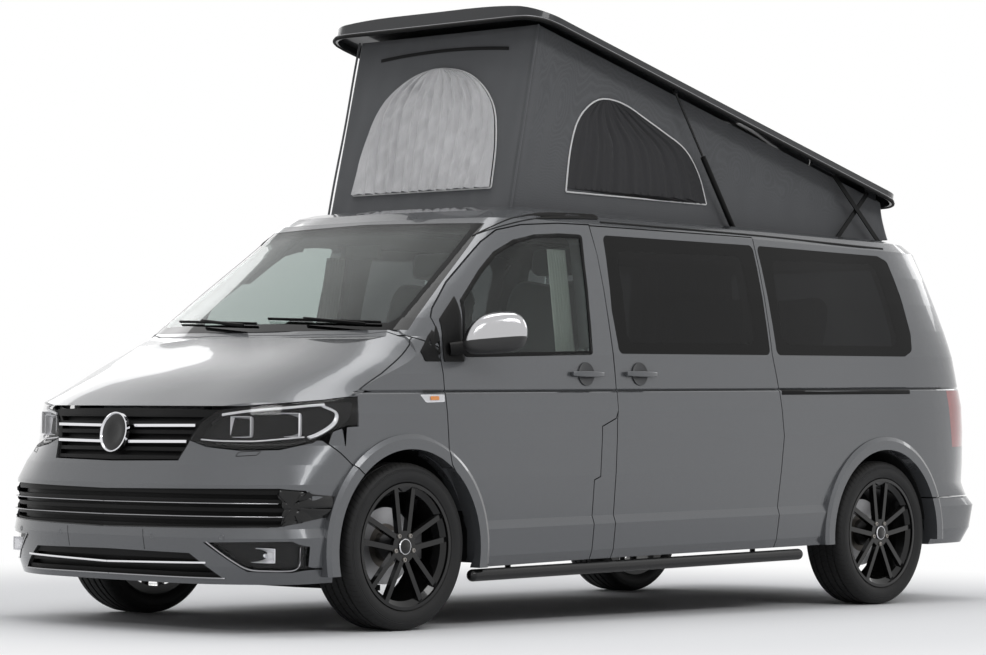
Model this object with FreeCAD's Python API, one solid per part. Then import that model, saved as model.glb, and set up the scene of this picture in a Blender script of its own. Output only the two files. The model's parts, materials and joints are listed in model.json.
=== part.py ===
import FreeCAD, Part
import math
import os
from FreeCAD import Vector

# Camper van: a long panel van with windows, a sliding side door and a raised lifting roof.
# X runs forward, Y to the van's left, Z up from the road; the origin is under its middle.

# Driving sizes of the whole van
WHEELBASE = 3400.0
FRONT_OVERHANG = 908.0
REAR_OVERHANG = 996.0
HALF_WIDTH = 952.0
CLOSED_HEIGHT = 2000.0
LENGTH = WHEELBASE + FRONT_OVERHANG + REAR_OVERHANG
FRONT_AXLE_X = LENGTH / 2 - FRONT_OVERHANG
REAR_AXLE_X = FRONT_AXLE_X - WHEELBASE
RAKE_SHARE = 0.018
OVERRUN = 400.0
SEAM = 5.5
SEAL_GAP = 0.3
GLASS_EDGE_GAP = 1.0
CURVED_GAP = 0.9

# Walls
DOOR_THICKNESS = 70.0
PILLAR_DEPTH = 45.0
GLASS_THICKNESS = 5.0
GLASS_SET = 1.5
PANEL = 20.0
BUMPER_WALL = 60.0

# Wheels and axles
TYRE_RADIUS = 360.0
TYRE_WIDTH = 235.0
RIM_RADIUS = 272.0
RIM_WIDTH = 215.0
HALF_TRACK = 814.0
ARCH_RADIUS = 430.0
ARCH_DEPTH = 480.0

# Height of each level line of the body at the front and the rear axle, then its half width,
# as shares of the closed height and of the half width
LEVEL_SHARES = [
    (0.1125, 0.143, 0.951), (0.15, 0.1805, 0.981), (0.209, 0.2395, 0.994),
    (0.228, 0.2585, 0.979), (0.2675, 0.298, 0.985), (0.32, 0.3505, 0.993),
    (0.36, 0.3905, 0.996), (0.4, 0.4305, 0.999), (0.4645, 0.495, 0.998),
    (0.507, 0.5375, 0.991), (0.512, 0.5425, 0.98), (0.516, 0.5465, 0.986),
    (0.55, 0.5805, 0.981), (0.5925, 0.623, 0.973), (0.631, 0.6555, 0.961),
    (0.6725, 0.691, 0.947), (0.7525, 0.759, 0.917), (0.8325, 0.8275, 0.88),
    (0.9125, 0.8955, 0.837), (0.931, 0.918, 0.793), (0.9425, 0.927, 0.735),
    (0.9485, 0.932, 0.546),
]
# Across the nose and the tail each level passes these shares of its own half width
NOSE_Y_SHARES = (0, 0.35, 0.56, 0.74, 0.90, 0.975)
# Then along the side, as shares of the way from the nose's last point to the tail's first
SIDE_SHARES = ((0.035, 0.983), (0.11, 0.991), (0.3, 0.993), (0.5, 0.994), (0.7, 0.993), (0.9, 0.989))
TAIL_Y_SHARES = (0.98, 0.94, 0.84, 0.5, 0)
# Stations, from -1 at the nose through 0 and 1 at the axles to 2 at the tail
NOSE_SHARES = [
    (-0.956, -0.949, -0.927, -0.865, -0.76, -0.661),
    (-0.974, -0.965, -0.939, -0.877, -0.774, -0.672),
    (-0.997, -0.988, -0.956, -0.893, -0.787, -0.681),
    (-1, -0.99, -0.958, -0.894, -0.789, -0.681),
    (-0.998, -0.987, -0.954, -0.888, -0.782, -0.672),
    (-0.989, -0.978, -0.945, -0.877, -0.769, -0.65),
    (-0.965, -0.949, -0.91, -0.826, -0.705, -0.551),
    (-0.938, -0.914, -0.867, -0.765, -0.617, -0.452),
    (-0.887, -0.876, -0.828, -0.749, -0.6, -0.441),
    (-0.85, -0.839, -0.801, -0.724, -0.575, -0.421),
    (-0.847, -0.836, -0.797, -0.72, -0.572, -0.419),
    (-0.844, -0.833, -0.794, -0.717, -0.568, -0.416),
    (-0.815, -0.804, -0.765, -0.688, -0.529, -0.363),
    (-0.441, -0.43, -0.396, -0.33, -0.209, 0.006),
    (-0.143, -0.123, -0.088, -0.033, 0.012, 0.05),
    (-0.012, 0.002, 0.01, 0.024, 0.044, 0.085),
    (0.064, 0.068, 0.076, 0.088, 0.109, 0.153),
    (0.131, 0.135, 0.141, 0.151, 0.172, 0.216),
    (0.196, 0.2, 0.204, 0.212, 0.228, 0.268),
    (0.215, 0.218, 0.223, 0.23, 0.244, 0.281),
    (0.235, 0.239, 0.243, 0.251, 0.265, 0.294),
    (0.265, 0.268, 0.272, 0.278, 0.29, 0.312),
]
TAIL_SHARES = [
    (1.693, 1.783, 1.858, 1.919, 1.934),
    (1.728, 1.818, 1.894, 1.959, 1.976),
    (1.746, 1.835, 1.913, 1.982, 2),
    (1.703, 1.803, 1.894, 1.964, 1.982),
    (1.597, 1.715, 1.865, 1.934, 1.949),
    (1.582, 1.713, 1.861, 1.929, 1.944),
    (1.57, 1.711, 1.855, 1.922, 1.938),
    (1.557, 1.709, 1.848, 1.914, 1.932),
    (1.547, 1.703, 1.831, 1.9, 1.919),
    (1.532, 1.689, 1.807, 1.877, 1.903),
    (1.531, 1.687, 1.805, 1.874, 1.901),
    (1.53, 1.686, 1.803, 1.873, 1.9),
    (1.517, 1.671, 1.788, 1.858, 1.886),
    (1.502, 1.653, 1.768, 1.838, 1.868),
    (1.484, 1.635, 1.75, 1.818, 1.848),
    (1.462, 1.612, 1.73, 1.798, 1.825),
    (1.41, 1.562, 1.678, 1.748, 1.773),
    (1.377, 1.517, 1.628, 1.693, 1.715),
    (1.321, 1.462, 1.587, 1.648, 1.665),
    (1.291, 1.422, 1.532, 1.587, 1.602),
    (1.241, 1.361, 1.452, 1.502, 1.517),
    (1.1, 1.221, 1.301, 1.351, 1.366),
]
# The bonnet's surface: stations, then its heights at these shares of the half width
BONNET_Y_SHARES = (0, 0.37, 0.735, 0.9, 0.977, 1.1)
BONNET_SHARES = [
    (-1.013, (0.436, 0.434, 0.426, 0.416, 0.406, 0.39)),
    (-0.837, (0.476, 0.473, 0.4625, 0.4465, 0.434, 0.419)),
    (-0.688, (0.5175, 0.514, 0.494, 0.464, 0.449, 0.4325)),
    (-0.419, (0.575, 0.5715, 0.5525, 0.52, 0.4925, 0.465)),
    (-0.165, (0.625, 0.621, 0.6085, 0.5725, 0.539, 0.505)),
    (0.018, (0.701, 0.696, 0.666, 0.619, 0.585, 0.55)),
]

# Side outlines, each point a station and a share of the closed height above the raked base line
FRONT_DOOR_SHARES = [
    (0.063, 0.511), (0.069, 0.382), (0.073, 0.354), (0.088, 0.32),
    (0.103, 0.28), (0.116, 0.235), (0.125, 0.126), (0.349, 0.129),
    (0.35, 0.31), (0.362, 0.317), (0.363, 0.431), (0.391, 0.449),
    (0.396, 0.4675), (0.392, 0.58), (0.386, 0.826), (0.381, 0.891),
    (0.323, 0.8915), (0.251, 0.8845), (0.214, 0.8715), (0.186, 0.844),
    (0.15, 0.8), (0.11, 0.751), (0.071, 0.692), (0.062, 0.6725),
    (0.061, 0.59),
]
SLIDING_DOOR_SHARES = [
    (0.394, 0.129), (0.395, 0.44), (0.397, 0.4705), (0.394, 0.58),
    (0.387, 0.826), (0.383, 0.889), (0.735, 0.88), (0.735, 0.5935),
    (0.745, 0.518), (0.755, 0.3985), (0.747, 0.2265), (0.744, 0.129),
]
FRONT_WINDOW_SHARES = [
    (0.103, 0.586), (0.351, 0.593), (0.354, 0.702), (0.358, 0.8045),
    (0.363, 0.868), (0.32, 0.869), (0.27, 0.864), (0.229, 0.85),
    (0.193, 0.822), (0.159, 0.78), (0.111, 0.71),
]
SLIDING_WINDOW_SHARES = [
    (0.406, 0.869), (0.731, 0.861), (0.731, 0.595), (0.406, 0.596),
    (0.4, 0.695),
]
REAR_WINDOW_SHARES = [
    (0.741, 0.8605), (1.105, 0.8485), (1.176, 0.835), (1.226, 0.75),
    (1.261, 0.65), (1.251, 0.6075), (1.187, 0.5935), (0.747, 0.595),
]
GUTTER_SHARES = [
    (-0.33, 0.9045), (0.206, 0.9015), (0.386, 0.896), (0.704, 0.888), (1.179, 0.864), (2.305, 0.836),
]

# Front view outlines, each point a share of the half width and of the closed height
LAMP_SHARES = [
    (0.567, 0.468), (0.494, 0.44), (0.458, 0.406), (0.546, 0.393), (0.693, 0.386), (0.84, 0.388),
    (0.922, 0.403), (0.998, 0.45),
    (0.998, 0.5), (0.924, 0.489), (0.819, 0.481), (0.672, 0.474),
]
UPPER_GRILLE_SHARES = [(0, 0.361), (0.42, 0.364), (0.45, 0.403), (0.485, 0.442), (0.557, 0.468),
                       (0.315, 0.4705), (0, 0.4715)]
MIDDLE_GRILLE_SHARES = [(0, 0.219), (0.903, 0.226), (0.958, 0.235), (0.981, 0.265), (0.966, 0.302),
                        (0.903, 0.306), (0, 0.3)]
LOWER_GRILLE_SHARES = [(0, 0.119), (0.672, 0.12), (0.63, 0.135), (0.525, 0.169), (0, 0.1715)]
FOG_SHARES = [(0.604, 0.192), (0.951, 0.197), (0.972, 0.186), (0.961, 0.138), (0.935, 0.132),
              (0.783, 0.133)]
SCREEN_SHARES = [(0, 0.643), (0.87, 0.646), (0.725, 0.894), (0, 0.901)]
TAILGATE_SHARES = [(0, 0.2725), (0.84, 0.272), (0.853, 0.515), (0.84, 0.59), (0.8, 0.71), (0.725, 0.87),
                   (0.672, 0.919), (0, 0.925)]
BACK_WINDOW_SHARES = [(0, 0.631), (0.735, 0.635), (0.688, 0.74), (0.63, 0.8675), (0, 0.8725)]

# Bonnet in plan, each point a station and a share of the half width
BONNET_PLAN_SHARES = [
    (-0.13, 0), (-0.115, 0.336), (-0.079, 0.539), (-0.02, 0.712), (0.012, 0.84), (0.022, 0.905),
    (-0.165, 0.951), (-0.419, 0.974),
    (-0.617, 0.924), (-0.771, 0.756), (-0.914, 0.441), (-0.936, 0),
]

# Parts of the side view that belong to each panel
WING_SHARES = [(0.129, 0.124), (0.129, 0.56), (0.056, 0.6075), (0.018, 0.631), (-0.066, 0.631),
               (-0.771, 0.52), (-0.771, 0.15)]
BUMPER_SHARES = [(-1.101, 0.4175), (-0.535, 0.41), (-0.311, 0.336), (-0.165, 0.28), (-0.165, 0.09),
                 (-1.101, 0.09)]
BODY_SIDE_SHARES = [
    (0.047, 0.25), (0.047, 0.6075), (0.018, 0.631), (-0.33, 0.631)] + GUTTER_SHARES + [
    (2.305, 0.235), (1.301, 0.234), (0.971, 0.234), (0.882, 0.129), (0.749, 0.129), (0.749, 0.25),
]
ROCKER_SHARES = [(0.324, 0.25), (0.324, 0.129), (0.749, 0.129), (0.749, 0.25)]
ROOF_SIDE_SHARES = GUTTER_SHARES + [(2.305, 1.05), (-0.33, 1.05)]
REAR_BUMPER_SHARES = [(1.301, 0.231), (2.104, 0.231), (2.104, 0.09), (1.301, 0.09)]
SCUTTLE_SHARES = [(0.046, 0.25), (0.028, 0.25), (0.028, 0.575), (-0.165, 0.575), (-0.165, 0.631),
                  (0.018, 0.631), (0.046, 0.605)]
SCREEN_ZONE_SHARES = [(0.074, 0.62), (0.074, 0.645), (0.274, 0.9175), (0.274, 0.975), (-0.441, 0.975),
                      (-0.441, 0.62)]
CARRIER_SHARES = [(-1.101, 0.43), (-0.363, 0.43), (-0.363, 0.165), (-1.101, 0.165)]
REAR_BEAM_SHARES = [(1.653, 0.2275), (2.104, 0.2275), (2.104, 0.19), (1.653, 0.19)]
FLOOR_SHARES = [(0.046, 0.25), (1.753, 0.25), (1.753, 0.225), (0.046, 0.225)]
SILL_SHARES = [(0.132, 0.25), (0.744, 0.25), (0.744, 0.136), (0.132, 0.136)]

# Lifting roof: its lower edge at the front and the back when raised
POP_FRONT_SHARE = (0.309, 1.363)
POP_REAR_SHARE = (1.452, 0.9805)
TAIL_LAMP_SHARES = [(1.542, 0.506), (1.597, 0.3605), (2.205, 0.3605), (2.205, 0.506)]
UPPER_BARS = 5
MIDDLE_BARS = 4
LOWER_BARS = 2


# Places and outlines

def at(station):
    """X of a station: -1 is the nose, 0 and 1 are the axles, 2 is the tail."""
    if station < 0:
        return FRONT_AXLE_X - station * FRONT_OVERHANG
    if station > 1:
        return REAR_AXLE_X - (station - 1) * REAR_OVERHANG
    return FRONT_AXLE_X - station * WHEELBASE


def rise(x):
    """How far the body lines have climbed at x, counted from the front axle."""
    return RAKE_SHARE * (FRONT_AXLE_X - x)


def side_point(share, y=0):
    """A point of the side view, from its station and its share of the closed height."""
    x = at(share[0])
    return Vector(x, y, share[1] * CLOSED_HEIGHT + rise(x))


def polygon(points):
    return Part.makePolygon(list(points) + [points[0]])


def rounded(points, radius):
    """A closed outline through the points, with each corner rounded as far as its sides allow."""
    count = len(points)
    edges = []
    ends = []
    for i in range(count):
        before = points[i - 1]
        here = points[i]
        after = points[(i + 1) % count]
        to_before = (before - here)
        to_after = (after - here)
        reach = min(to_before.Length, to_after.Length) * HALF_SHARE
        turn = math.pi - to_before.getAngle(to_after)
        if turn < STRAIGHT:
            ends.append((here, here, None))
            continue
        cut = min(radius * math.tan(turn / 2), reach)
        start = here + to_before.normalize() * cut
        end = here + to_after.normalize() * cut
        round_radius = cut / math.tan(turn / 2)
        middle = here + (to_before + to_after).normalize() * (round_radius / math.cos(turn / 2)
                                                              - round_radius)
        ends.append((start, end, middle))
    for i in range(count):
        start, end, middle = ends[i]
        if middle is not None:
            edges.append(Part.Arc(start, middle, end).toShape())
        following = ends[(i + 1) % count][0]
        if (following - end).Length > STRAIGHT:
            edges.append(Part.LineSegment(end, following).toShape())
    return Part.Wire(edges)


def side_prism(shares, side, corner=0, grow=0, inner=0, raised=0):
    """A prism across one side of the van, or right across it when side is 0."""
    low = -HALF_WIDTH - OVERRUN
    high = HALF_WIDTH + OVERRUN
    if side > 0:
        low = inner
    if side < 0:
        high = -inner
    points = [side_point(share, low) + Vector(0, 0, raised) for share in shares]
    wire = polygon(points)
    if grow:
        wire = wire.makeOffset2D(grow, 2)
    if corner:
        wire = rounded([vertex.Point for vertex in wire.OrderedVertexes], corner)
    return Part.Face(wire).extrude(Vector(0, high - low, 0))


def level_points(index, inset):
    """Half of one level line in plan, from the middle of the nose to the middle of the tail."""
    width = LEVEL_SHARES[index][2] * HALF_WIDTH - inset
    flat = []
    for station, y_share in zip(NOSE_SHARES[index], NOSE_Y_SHARES):
        flat.append((at(station) - inset, y_share * width))
    nose_end = flat[-1][0]
    tail_start = at(TAIL_SHARES[index][0]) + inset
    for along, y_share in SIDE_SHARES:
        flat.append((nose_end + (tail_start - nose_end) * along, y_share * width))
    for station, y_share in zip(TAIL_SHARES[index], TAIL_Y_SHARES):
        flat.append((at(station) + inset, y_share * width))
    return flat


def level_wire(index, inset=0):
    """One level line round the body, drawn in a plane that climbs with the body's rake."""
    front, rear, half = LEVEL_SHARES[index]
    front_z = front * CLOSED_HEIGHT
    climb = (rear * CLOSED_HEIGHT - front_z) / WHEELBASE
    points = [Vector(x, y, front_z + climb * (FRONT_AXLE_X - x)) for x, y in level_points(index, inset)]
    curve = Part.BSplineCurve()
    curve.interpolate(Points=points, Parameters=LEVEL_KNOTS,
                      InitialTangent=Vector(0, 1, 0), FinalTangent=Vector(0, -1, 0))
    left = curve.toShape()
    right = left.mirror(Vector(0, 0, 0), Vector(0, 1, 0))
    return Part.Wire([left, right])


def level_knots():
    """The same spacing along every level line, so that the skin between them is smooth."""
    spans = [KNOT_START]
    middle = len(LEVEL_SHARES) // 2 - 2
    flat = level_points(middle, 0)
    for a, b in zip(flat, flat[1:]):
        spans.append(spans[-1] + math.dist(a, b))
    return spans


def envelope(inset=0, first=0, last=None):
    """The body's outer form, or the same form set in by a wall."""
    last = len(LEVEL_SHARES) if last is None else last
    wires = [level_wire(i, inset) for i in range(first, last)]
    return Part.makeLoft(wires, True, True)


HALF_SHARE = 0.49
STRAIGHT = 0.01
KNOT_START = 0.0
LEVEL_KNOTS = level_knots()


def front_prism(shares, grow=0, back=0, ahead=None):
    """A prism along the van through both halves of a front view outline."""
    half = [(share[0] * HALF_WIDTH, share[1] * CLOSED_HEIGHT) for share in shares]
    both = half + [(-y, z) for y, z in reversed(half) if y > 0]
    ahead = FRONT_AXLE_X + FRONT_OVERHANG + OVERRUN if ahead is None else ahead
    wire = polygon([Vector(back, y, z) for y, z in both])
    if grow:
        wire = wire.makeOffset2D(grow, 2)
    return Part.Face(wire).extrude(Vector(ahead - back, 0, 0))


def one_front_prism(shares, side, grow=0, back=0):
    """The same for an outline that stands on one side only."""
    points = [Vector(back, side * share[0] * HALF_WIDTH, share[1] * CLOSED_HEIGHT) for share in shares]
    wire = polygon(points)
    if grow:
        wire = wire.makeOffset2D(grow, 2)
    return Part.Face(wire).extrude(Vector(FRONT_AXLE_X + FRONT_OVERHANG + OVERRUN - back, 0, 0))


def mirrored(shape):
    return shape.mirror(Vector(0, 0, 0), Vector(0, 1, 0))


def both_sides(shape):
    return Part.makeCompound([shape, mirrored(shape)])


def box(low, high):
    size = Vector(*high) - Vector(*low)
    return Part.makeBox(size.x, size.y, size.z, Vector(*low))


def rod(start, end, radius):
    start = Vector(*start)
    along = Vector(*end) - start
    return Part.makeCylinder(radius, along.Length, start, along)


def across(x, z, radius, low_y, high_y):
    """A cylinder that lies across the van."""
    return Part.makeCylinder(radius, high_y - low_y, Vector(x, low_y, z), Vector(0, 1, 0))


def turned(profile, centre, axis):
    """A solid of revolution from a closed profile."""
    return Part.Face(polygon(profile)).revolve(centre, axis, FULL_TURN)


def save(name, shape):
    """Writes one piece, and says how many solids it holds."""
    solids = [solid for solid in shape.Solids if solid.Volume > SMALLEST_SOLID]
    shape = solids[0] if len(solids) == 1 else Part.makeCompound(solids)
    shape.exportStep("parts/" + name + ".step")
    valid = all(solid.isValid() for solid in solids)
    print(name, len(solids), "valid" if valid else "NOT VALID",
          round(shape.Volume / CUBIC_METRE, LITRE_DIGITS))
    return shape


FULL_TURN = 360.0
SMALLEST_SOLID = 500.0
CUBIC_METRE = 1e9
LITRE_DIGITS = 5
os.makedirs("parts", exist_ok=True)


# The whole outer form: body, bonnet surface and arch flares

FLARE_RADIUS = 505.0
FLARE_FALL = 30.0
FLARE_SHOULDER = 10.0
FLARE_FOOT = 150.0
ARCH_DROP = 12.0
ARCH_Z = TYRE_RADIUS - ARCH_DROP


def bonnet_tool():
    """All the space above the bonnet's surface, from the windscreen's foot forward."""
    top = CLOSED_HEIGHT
    wires = []
    for station, heights in BONNET_SHARES:
        x = at(station)
        half = [Vector(x, y * HALF_WIDTH, z * CLOSED_HEIGHT) for y, z in zip(BONNET_Y_SHARES, heights)]
        points = [Vector(p.x, -p.y, p.z) for p in reversed(half[1:])] + half
        curve = Part.BSplineCurve()
        curve.interpolate(Points=points)
        left_top = Vector(x, points[-1].y, top)
        right_top = Vector(x, points[0].y, top)
        wires.append(Part.Wire([
            curve.toShape(), Part.makeLine(points[-1], left_top), Part.makeLine(left_top, right_top),
            Part.makeLine(right_top, points[0]),
        ]))
    return Part.makeLoft(wires, True, False)


def flare(x):
    """The raised lip round one wheel arch."""
    face = HALF_WIDTH
    profile = [
        Vector(x, face - FLARE_FOOT, ARCH_Z), Vector(x, face - FLARE_FOOT, ARCH_Z + FLARE_RADIUS),
        Vector(x, face - FLARE_SHOULDER, ARCH_Z + FLARE_RADIUS - FLARE_SHOULDER),
        Vector(x, face, ARCH_Z + FLARE_RADIUS - FLARE_FALL), Vector(x, face, ARCH_Z),
    ]
    ring = turned(profile, Vector(x, 0, ARCH_Z), Vector(0, 1, 0))
    level = side_prism(FLARE_ZONE_SHARES, 1)
    return ring.common(level)


FLARE_ZONE_SHARES = [(-1, 0.126), (2, 0.126), (2, 0.6), (-1, 0.6)]


def whole_body():
    """The form that every body panel is cut from."""
    form = envelope().cut(bonnet_tool())
    for x in (FRONT_AXLE_X, REAR_AXLE_X):
        lip = flare(x)
        form = form.fuse([lip, mirrored(lip)])
    for x in (FRONT_AXLE_X, REAR_AXLE_X):
        hole = across(x, ARCH_Z, ARCH_RADIUS, ARCH_DEPTH, HALF_WIDTH + OVERRUN)
        form = form.cut([hole, mirrored(hole)])
    return form


# Steps and laps of the body's shut lines
APERTURE_STEP = 45.0
PILLAR_BACK_SHARE = 0.265
PILLAR_BAND = 22.0
PILLAR_STEP = 80.0
SILL_GAP = 5.0
FLANGE = 20.0
WINDOW_CORNER = 30.0
GLASS_LAP = 16.0
LAMP_REACH_SHARE = 0.34
GRILLE_REACH_SHARE = 0.62
TAIL_HEADER_SHARE = 0.795
TAIL_REACH_SHARE = 0.42
LAMP_BACK = FRONT_AXLE_X + LAMP_REACH_SHARE * FRONT_OVERHANG
GRILLE_BACK = FRONT_AXLE_X + GRILLE_REACH_SHARE * FRONT_OVERHANG
TAIL_FRONT_X = REAR_AXLE_X - TAIL_REACH_SHARE * REAR_OVERHANG
BONNET_FLOOR_SHARE = 0.38
BONNET_THICKNESS = 28.0
GRILLE_SET = 10.0
GRILLE_DEPTH = BUMPER_WALL - GRILLE_SET
SLAT_PITCH = 36.0
SLAT_SLOT = 20.0
ROOF_WALL = 65.0
TRAY_DEPTH = 42.0

BODY = whole_body()
LEFT = BODY.common(box((-LENGTH, 0, 0), (LENGTH, HALF_WIDTH + OVERRUN, CLOSED_HEIGHT)))
DOOR_INNER = envelope(DOOR_THICKNESS)
SKIN_INNER = envelope(PANEL)
POCKET_INNER = envelope(DOOR_THICKNESS + SEAL_GAP)
CABIN_INNER = envelope(DOOR_THICKNESS + PILLAR_DEPTH)
FRONT_INNER = envelope(BUMPER_WALL)
GLASS_OUTER = envelope(GLASS_SET)
GLASS_BACK = envelope(GLASS_SET + GLASS_THICKNESS)
GLASS_INNER = envelope(GLASS_SET + GLASS_THICKNESS + SEAL_GAP)


def window_tools(window):
    """What a window takes out of its wall: the opening, and the rebate that its glass lies in."""
    opening = side_prism(window, 1, corner=WINDOW_CORNER, grow=-GLASS_LAP)
    rebate = side_prism(window, 1, corner=WINDOW_CORNER, grow=GLASS_EDGE_GAP).cut(GLASS_INNER)
    return [opening, rebate]


def screen_pillar(band, depth):
    """The slanting pillar beside the windscreen, from a depth under the skin inwards."""
    beside = front_prism(SCREEN_SHARES, band,
                         at(PILLAR_BACK_SHARE)).cut(side_prism(FRONT_DOOR_SHARES, 1, grow=-PILLAR_STEP))
    return beside.common(envelope(depth))


def door_tools(outline):
    """What a door takes out of the wall: a pocket as deep as the door, and the way in."""
    pillar = screen_pillar(PILLAR_BAND, PANEL + SILL_GAP)
    pocket = side_prism(outline, 1, grow=SEAM).cut(POCKET_INNER)
    return [pocket.cut(pillar), side_prism(outline, 1, grow=-APERTURE_STEP).cut(pillar)]


def door(outline, window):
    """A door: a skin out to the seam, and a box behind it that is set back on all sides."""
    form = LEFT.common(side_prism(outline, 1)).cut(DOOR_INNER)
    step = side_prism(outline, 1, grow=SEAM).cut(side_prism(outline, 1, grow=-FLANGE)).common(SKIN_INNER)
    form = form.cut(step)
    if outline is FRONT_DOOR_SHARES:
        form = form.cut(screen_pillar(PILLAR_BAND + SILL_GAP, PANEL))
    for tool in window_tools(window):
        form = form.cut(tool)
    return form


def side_glass(window):
    """One flush pane in its rebate."""
    return GLASS_OUTER.common(side_prism(window, 1, corner=WINDOW_CORNER)).cut(GLASS_BACK)


def tail_prism(grow=0, ahead=0):
    """The rear view outline of the tailgate, as a prism through the tail."""
    return front_prism(TAILGATE_SHARES, grow, -LENGTH, TAIL_FRONT_X + ahead)


def screen_tools():
    """The windscreen's opening and rebate."""
    zone = side_prism(SCREEN_ZONE_SHARES, 0)
    opening = front_prism(SCREEN_SHARES, -GLASS_LAP, 0).common(zone)
    rebate = front_prism(SCREEN_SHARES, GLASS_EDGE_GAP, 0).cut(GLASS_INNER)
    return [opening, rebate]


def largest(shape):
    """The main solid of a panel, without the slivers that its shut lines leave."""
    return max(shape.Solids, key=lambda solid: solid.Volume)


def cut_all(form, tools):
    for tool in tools:
        form = form.cut(tool)
    return form


def wall():
    """A side wall with its pillars and rails, with what both sides have taken out of it."""
    form = LEFT.common(side_prism(BODY_SIDE_SHARES, 1)).cut(CABIN_INNER)
    form = form.fuse(LEFT.common(side_prism(ROCKER_SHARES, 1)).cut(DOOR_INNER))
    form = cut_all(form, SCREEN_TOOLS)
    form = form.cut(side_prism(WING_SHARES, 1, grow=SEAM).cut(POCKET_INNER))
    form = cut_all(form, TAIL_TOOLS + [bonnet_prism(SEAM)])
    form = form.cut(side_prism(TAIL_LAMP_SHARES, 1, grow=SEAL_GAP))
    return cut_all(form, door_tools(FRONT_DOOR_SHARES) + window_tools(REAR_WINDOW_SHARES))


def bonnet_prism(grow=0):
    """The bonnet's outline in plan, as a prism from above the lamps upwards."""
    half = [(at(share[0]), share[1] * HALF_WIDTH) for share in BONNET_PLAN_SHARES]
    both = half + [(x, -y) for x, y in reversed(half) if y > 0]
    wire = polygon([Vector(x, y, BONNET_FLOOR_SHARE * CLOSED_HEIGHT) for x, y in both])
    if grow:
        wire = wire.makeOffset2D(grow, 2)
    return Part.Face(wire).extrude(Vector(0, 0, CLOSED_HEIGHT))


def wing():
    """One front wing, hollow behind its skin."""
    form = LEFT.common(side_prism(WING_SHARES, 1)).cut(FRONT_INNER)
    return largest(cut_all(form, (
        side_prism(FRONT_DOOR_SHARES, 1, grow=SEAM), side_prism(BUMPER_SHARES, 1, grow=SEAM),
        bonnet_prism(SEAM), LAMP_TOOL, GRILLE_TOOL,
    )))


def bonnet():
    """The bonnet panel under its own surface."""
    form = BODY.common(bonnet_prism())
    lowered = form.copy()
    lowered.translate(Vector(0, 0, -BONNET_THICKNESS))
    foot = BONNET_FLOOR_SHARE * CLOSED_HEIGHT + BONNET_THICKNESS
    return largest(cut_all(form, (lowered, LAMP_TOOL, GRILLE_TOOL,
                                  box((-LENGTH, -LENGTH, 0), (LENGTH, LENGTH, foot)))))


def front_bumper():
    """The bumper's wrap-round cover, with its openings cut."""
    form = BODY.common(side_prism(BUMPER_SHARES, 0)).cut(FRONT_INNER)
    fog = one_front_prism(FOG_SHARES, 1, SEAL_GAP, LAMP_BACK)
    return cut_all(form, (
        LAMP_TOOL, GRILLE_TOOL, front_prism(MIDDLE_GRILLE_SHARES, SEAL_GAP, GRILLE_BACK),
        front_prism(LOWER_GRILLE_SHARES, SEAL_GAP, GRILLE_BACK), fog, mirrored(fog),
    ))


def grille(outline, bars):
    """A backed grille: a slab set in from the nose, with slots between its bars."""
    zone = front_prism(outline, -SEAL_GAP, GRILLE_BACK)
    slab = envelope(GRILLE_SET).common(zone).cut(envelope(GRILLE_SET + GRILLE_DEPTH))
    reach = front_prism(outline, -SLAT_SLOT / 2, GRILLE_BACK).cut(envelope(GRILLE_SET + GRILLE_DEPTH / 2))
    low = min(share[1] for share in outline) * CLOSED_HEIGHT
    for i in range(bars):
        z = low + SLAT_SLOT + i * SLAT_PITCH
        slab = slab.cut(reach.common(box((0, -HALF_WIDTH, z), (LENGTH, HALF_WIDTH, z + SLAT_SLOT))))
    return slab


def front_lamps():
    """Both headlamps with their housings, and the fog lamps."""
    lamp = LEFT.common(one_front_prism(LAMP_SHARES, 1, 0, LAMP_BACK)).cut(FRONT_INNER)
    fog = LEFT.common(one_front_prism(FOG_SHARES, 1, 0, LAMP_BACK))
    fog = envelope(GRILLE_SET).common(fog).cut(FRONT_INNER)
    return Part.makeCompound([lamp, mirrored(lamp), fog, mirrored(fog)])


def roof_panel():
    """The fixed roof: a tray for the lifting roof with the way through it."""
    form = BODY.common(side_prism(ROOF_SIDE_SHARES, 0, raised=SEAL_GAP))
    lowered = form.copy()
    lowered.translate(Vector(0, 0, -ROOF_WALL))
    form = cut_all(form, [lowered] + SCREEN_TOOLS + TAIL_TOOLS)
    form = cut_all(form, (tray_prism(TRAY_HALF, TRAY_FRONT, TRAY_REAR, -TRAY_DEPTH),
                          tray_prism(HATCH_HALF, HATCH_FRONT, HATCH_REAR, -CLOSED_HEIGHT / 2)))
    held = roof_lugs()
    return form.fuse(held + [mirrored(part) for part in held])


TRAY_HALF = 690.0
HATCH_HALF = 560.0
TRAY_FRONT_SHARE = 0.291
TRAY_REAR_SHARE = 1.527
HATCH_FRONT_SHARE = 0.306
HATCH_REAR_SHARE = 0.971
TRAY_FRONT = at(TRAY_FRONT_SHARE)
TRAY_REAR = at(TRAY_REAR_SHARE)
HATCH_FRONT = at(HATCH_FRONT_SHARE)
HATCH_REAR = at(HATCH_REAR_SHARE)
ROOF_EDGE_FRONT_SHARE = 0.946
ROOF_EDGE_FALL_SHARE = 0.0095


def roof_z(x):
    """Height of the fixed roof's top along its middle."""
    return ROOF_EDGE_FRONT_SHARE * CLOSED_HEIGHT - ROOF_EDGE_FALL_SHARE * (FRONT_AXLE_X - x)


def tray_prism(half, front, rear, depth):
    """A box along the roof whose floor follows the roof's fall."""
    points = [Vector(front, -half, roof_z(front) + depth), Vector(rear, -half, roof_z(rear) + depth),
              Vector(rear, -half, CLOSED_HEIGHT), Vector(front, -half, CLOSED_HEIGHT)]
    return Part.Face(polygon(points)).extrude(Vector(0, 2 * half, 0))


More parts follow.
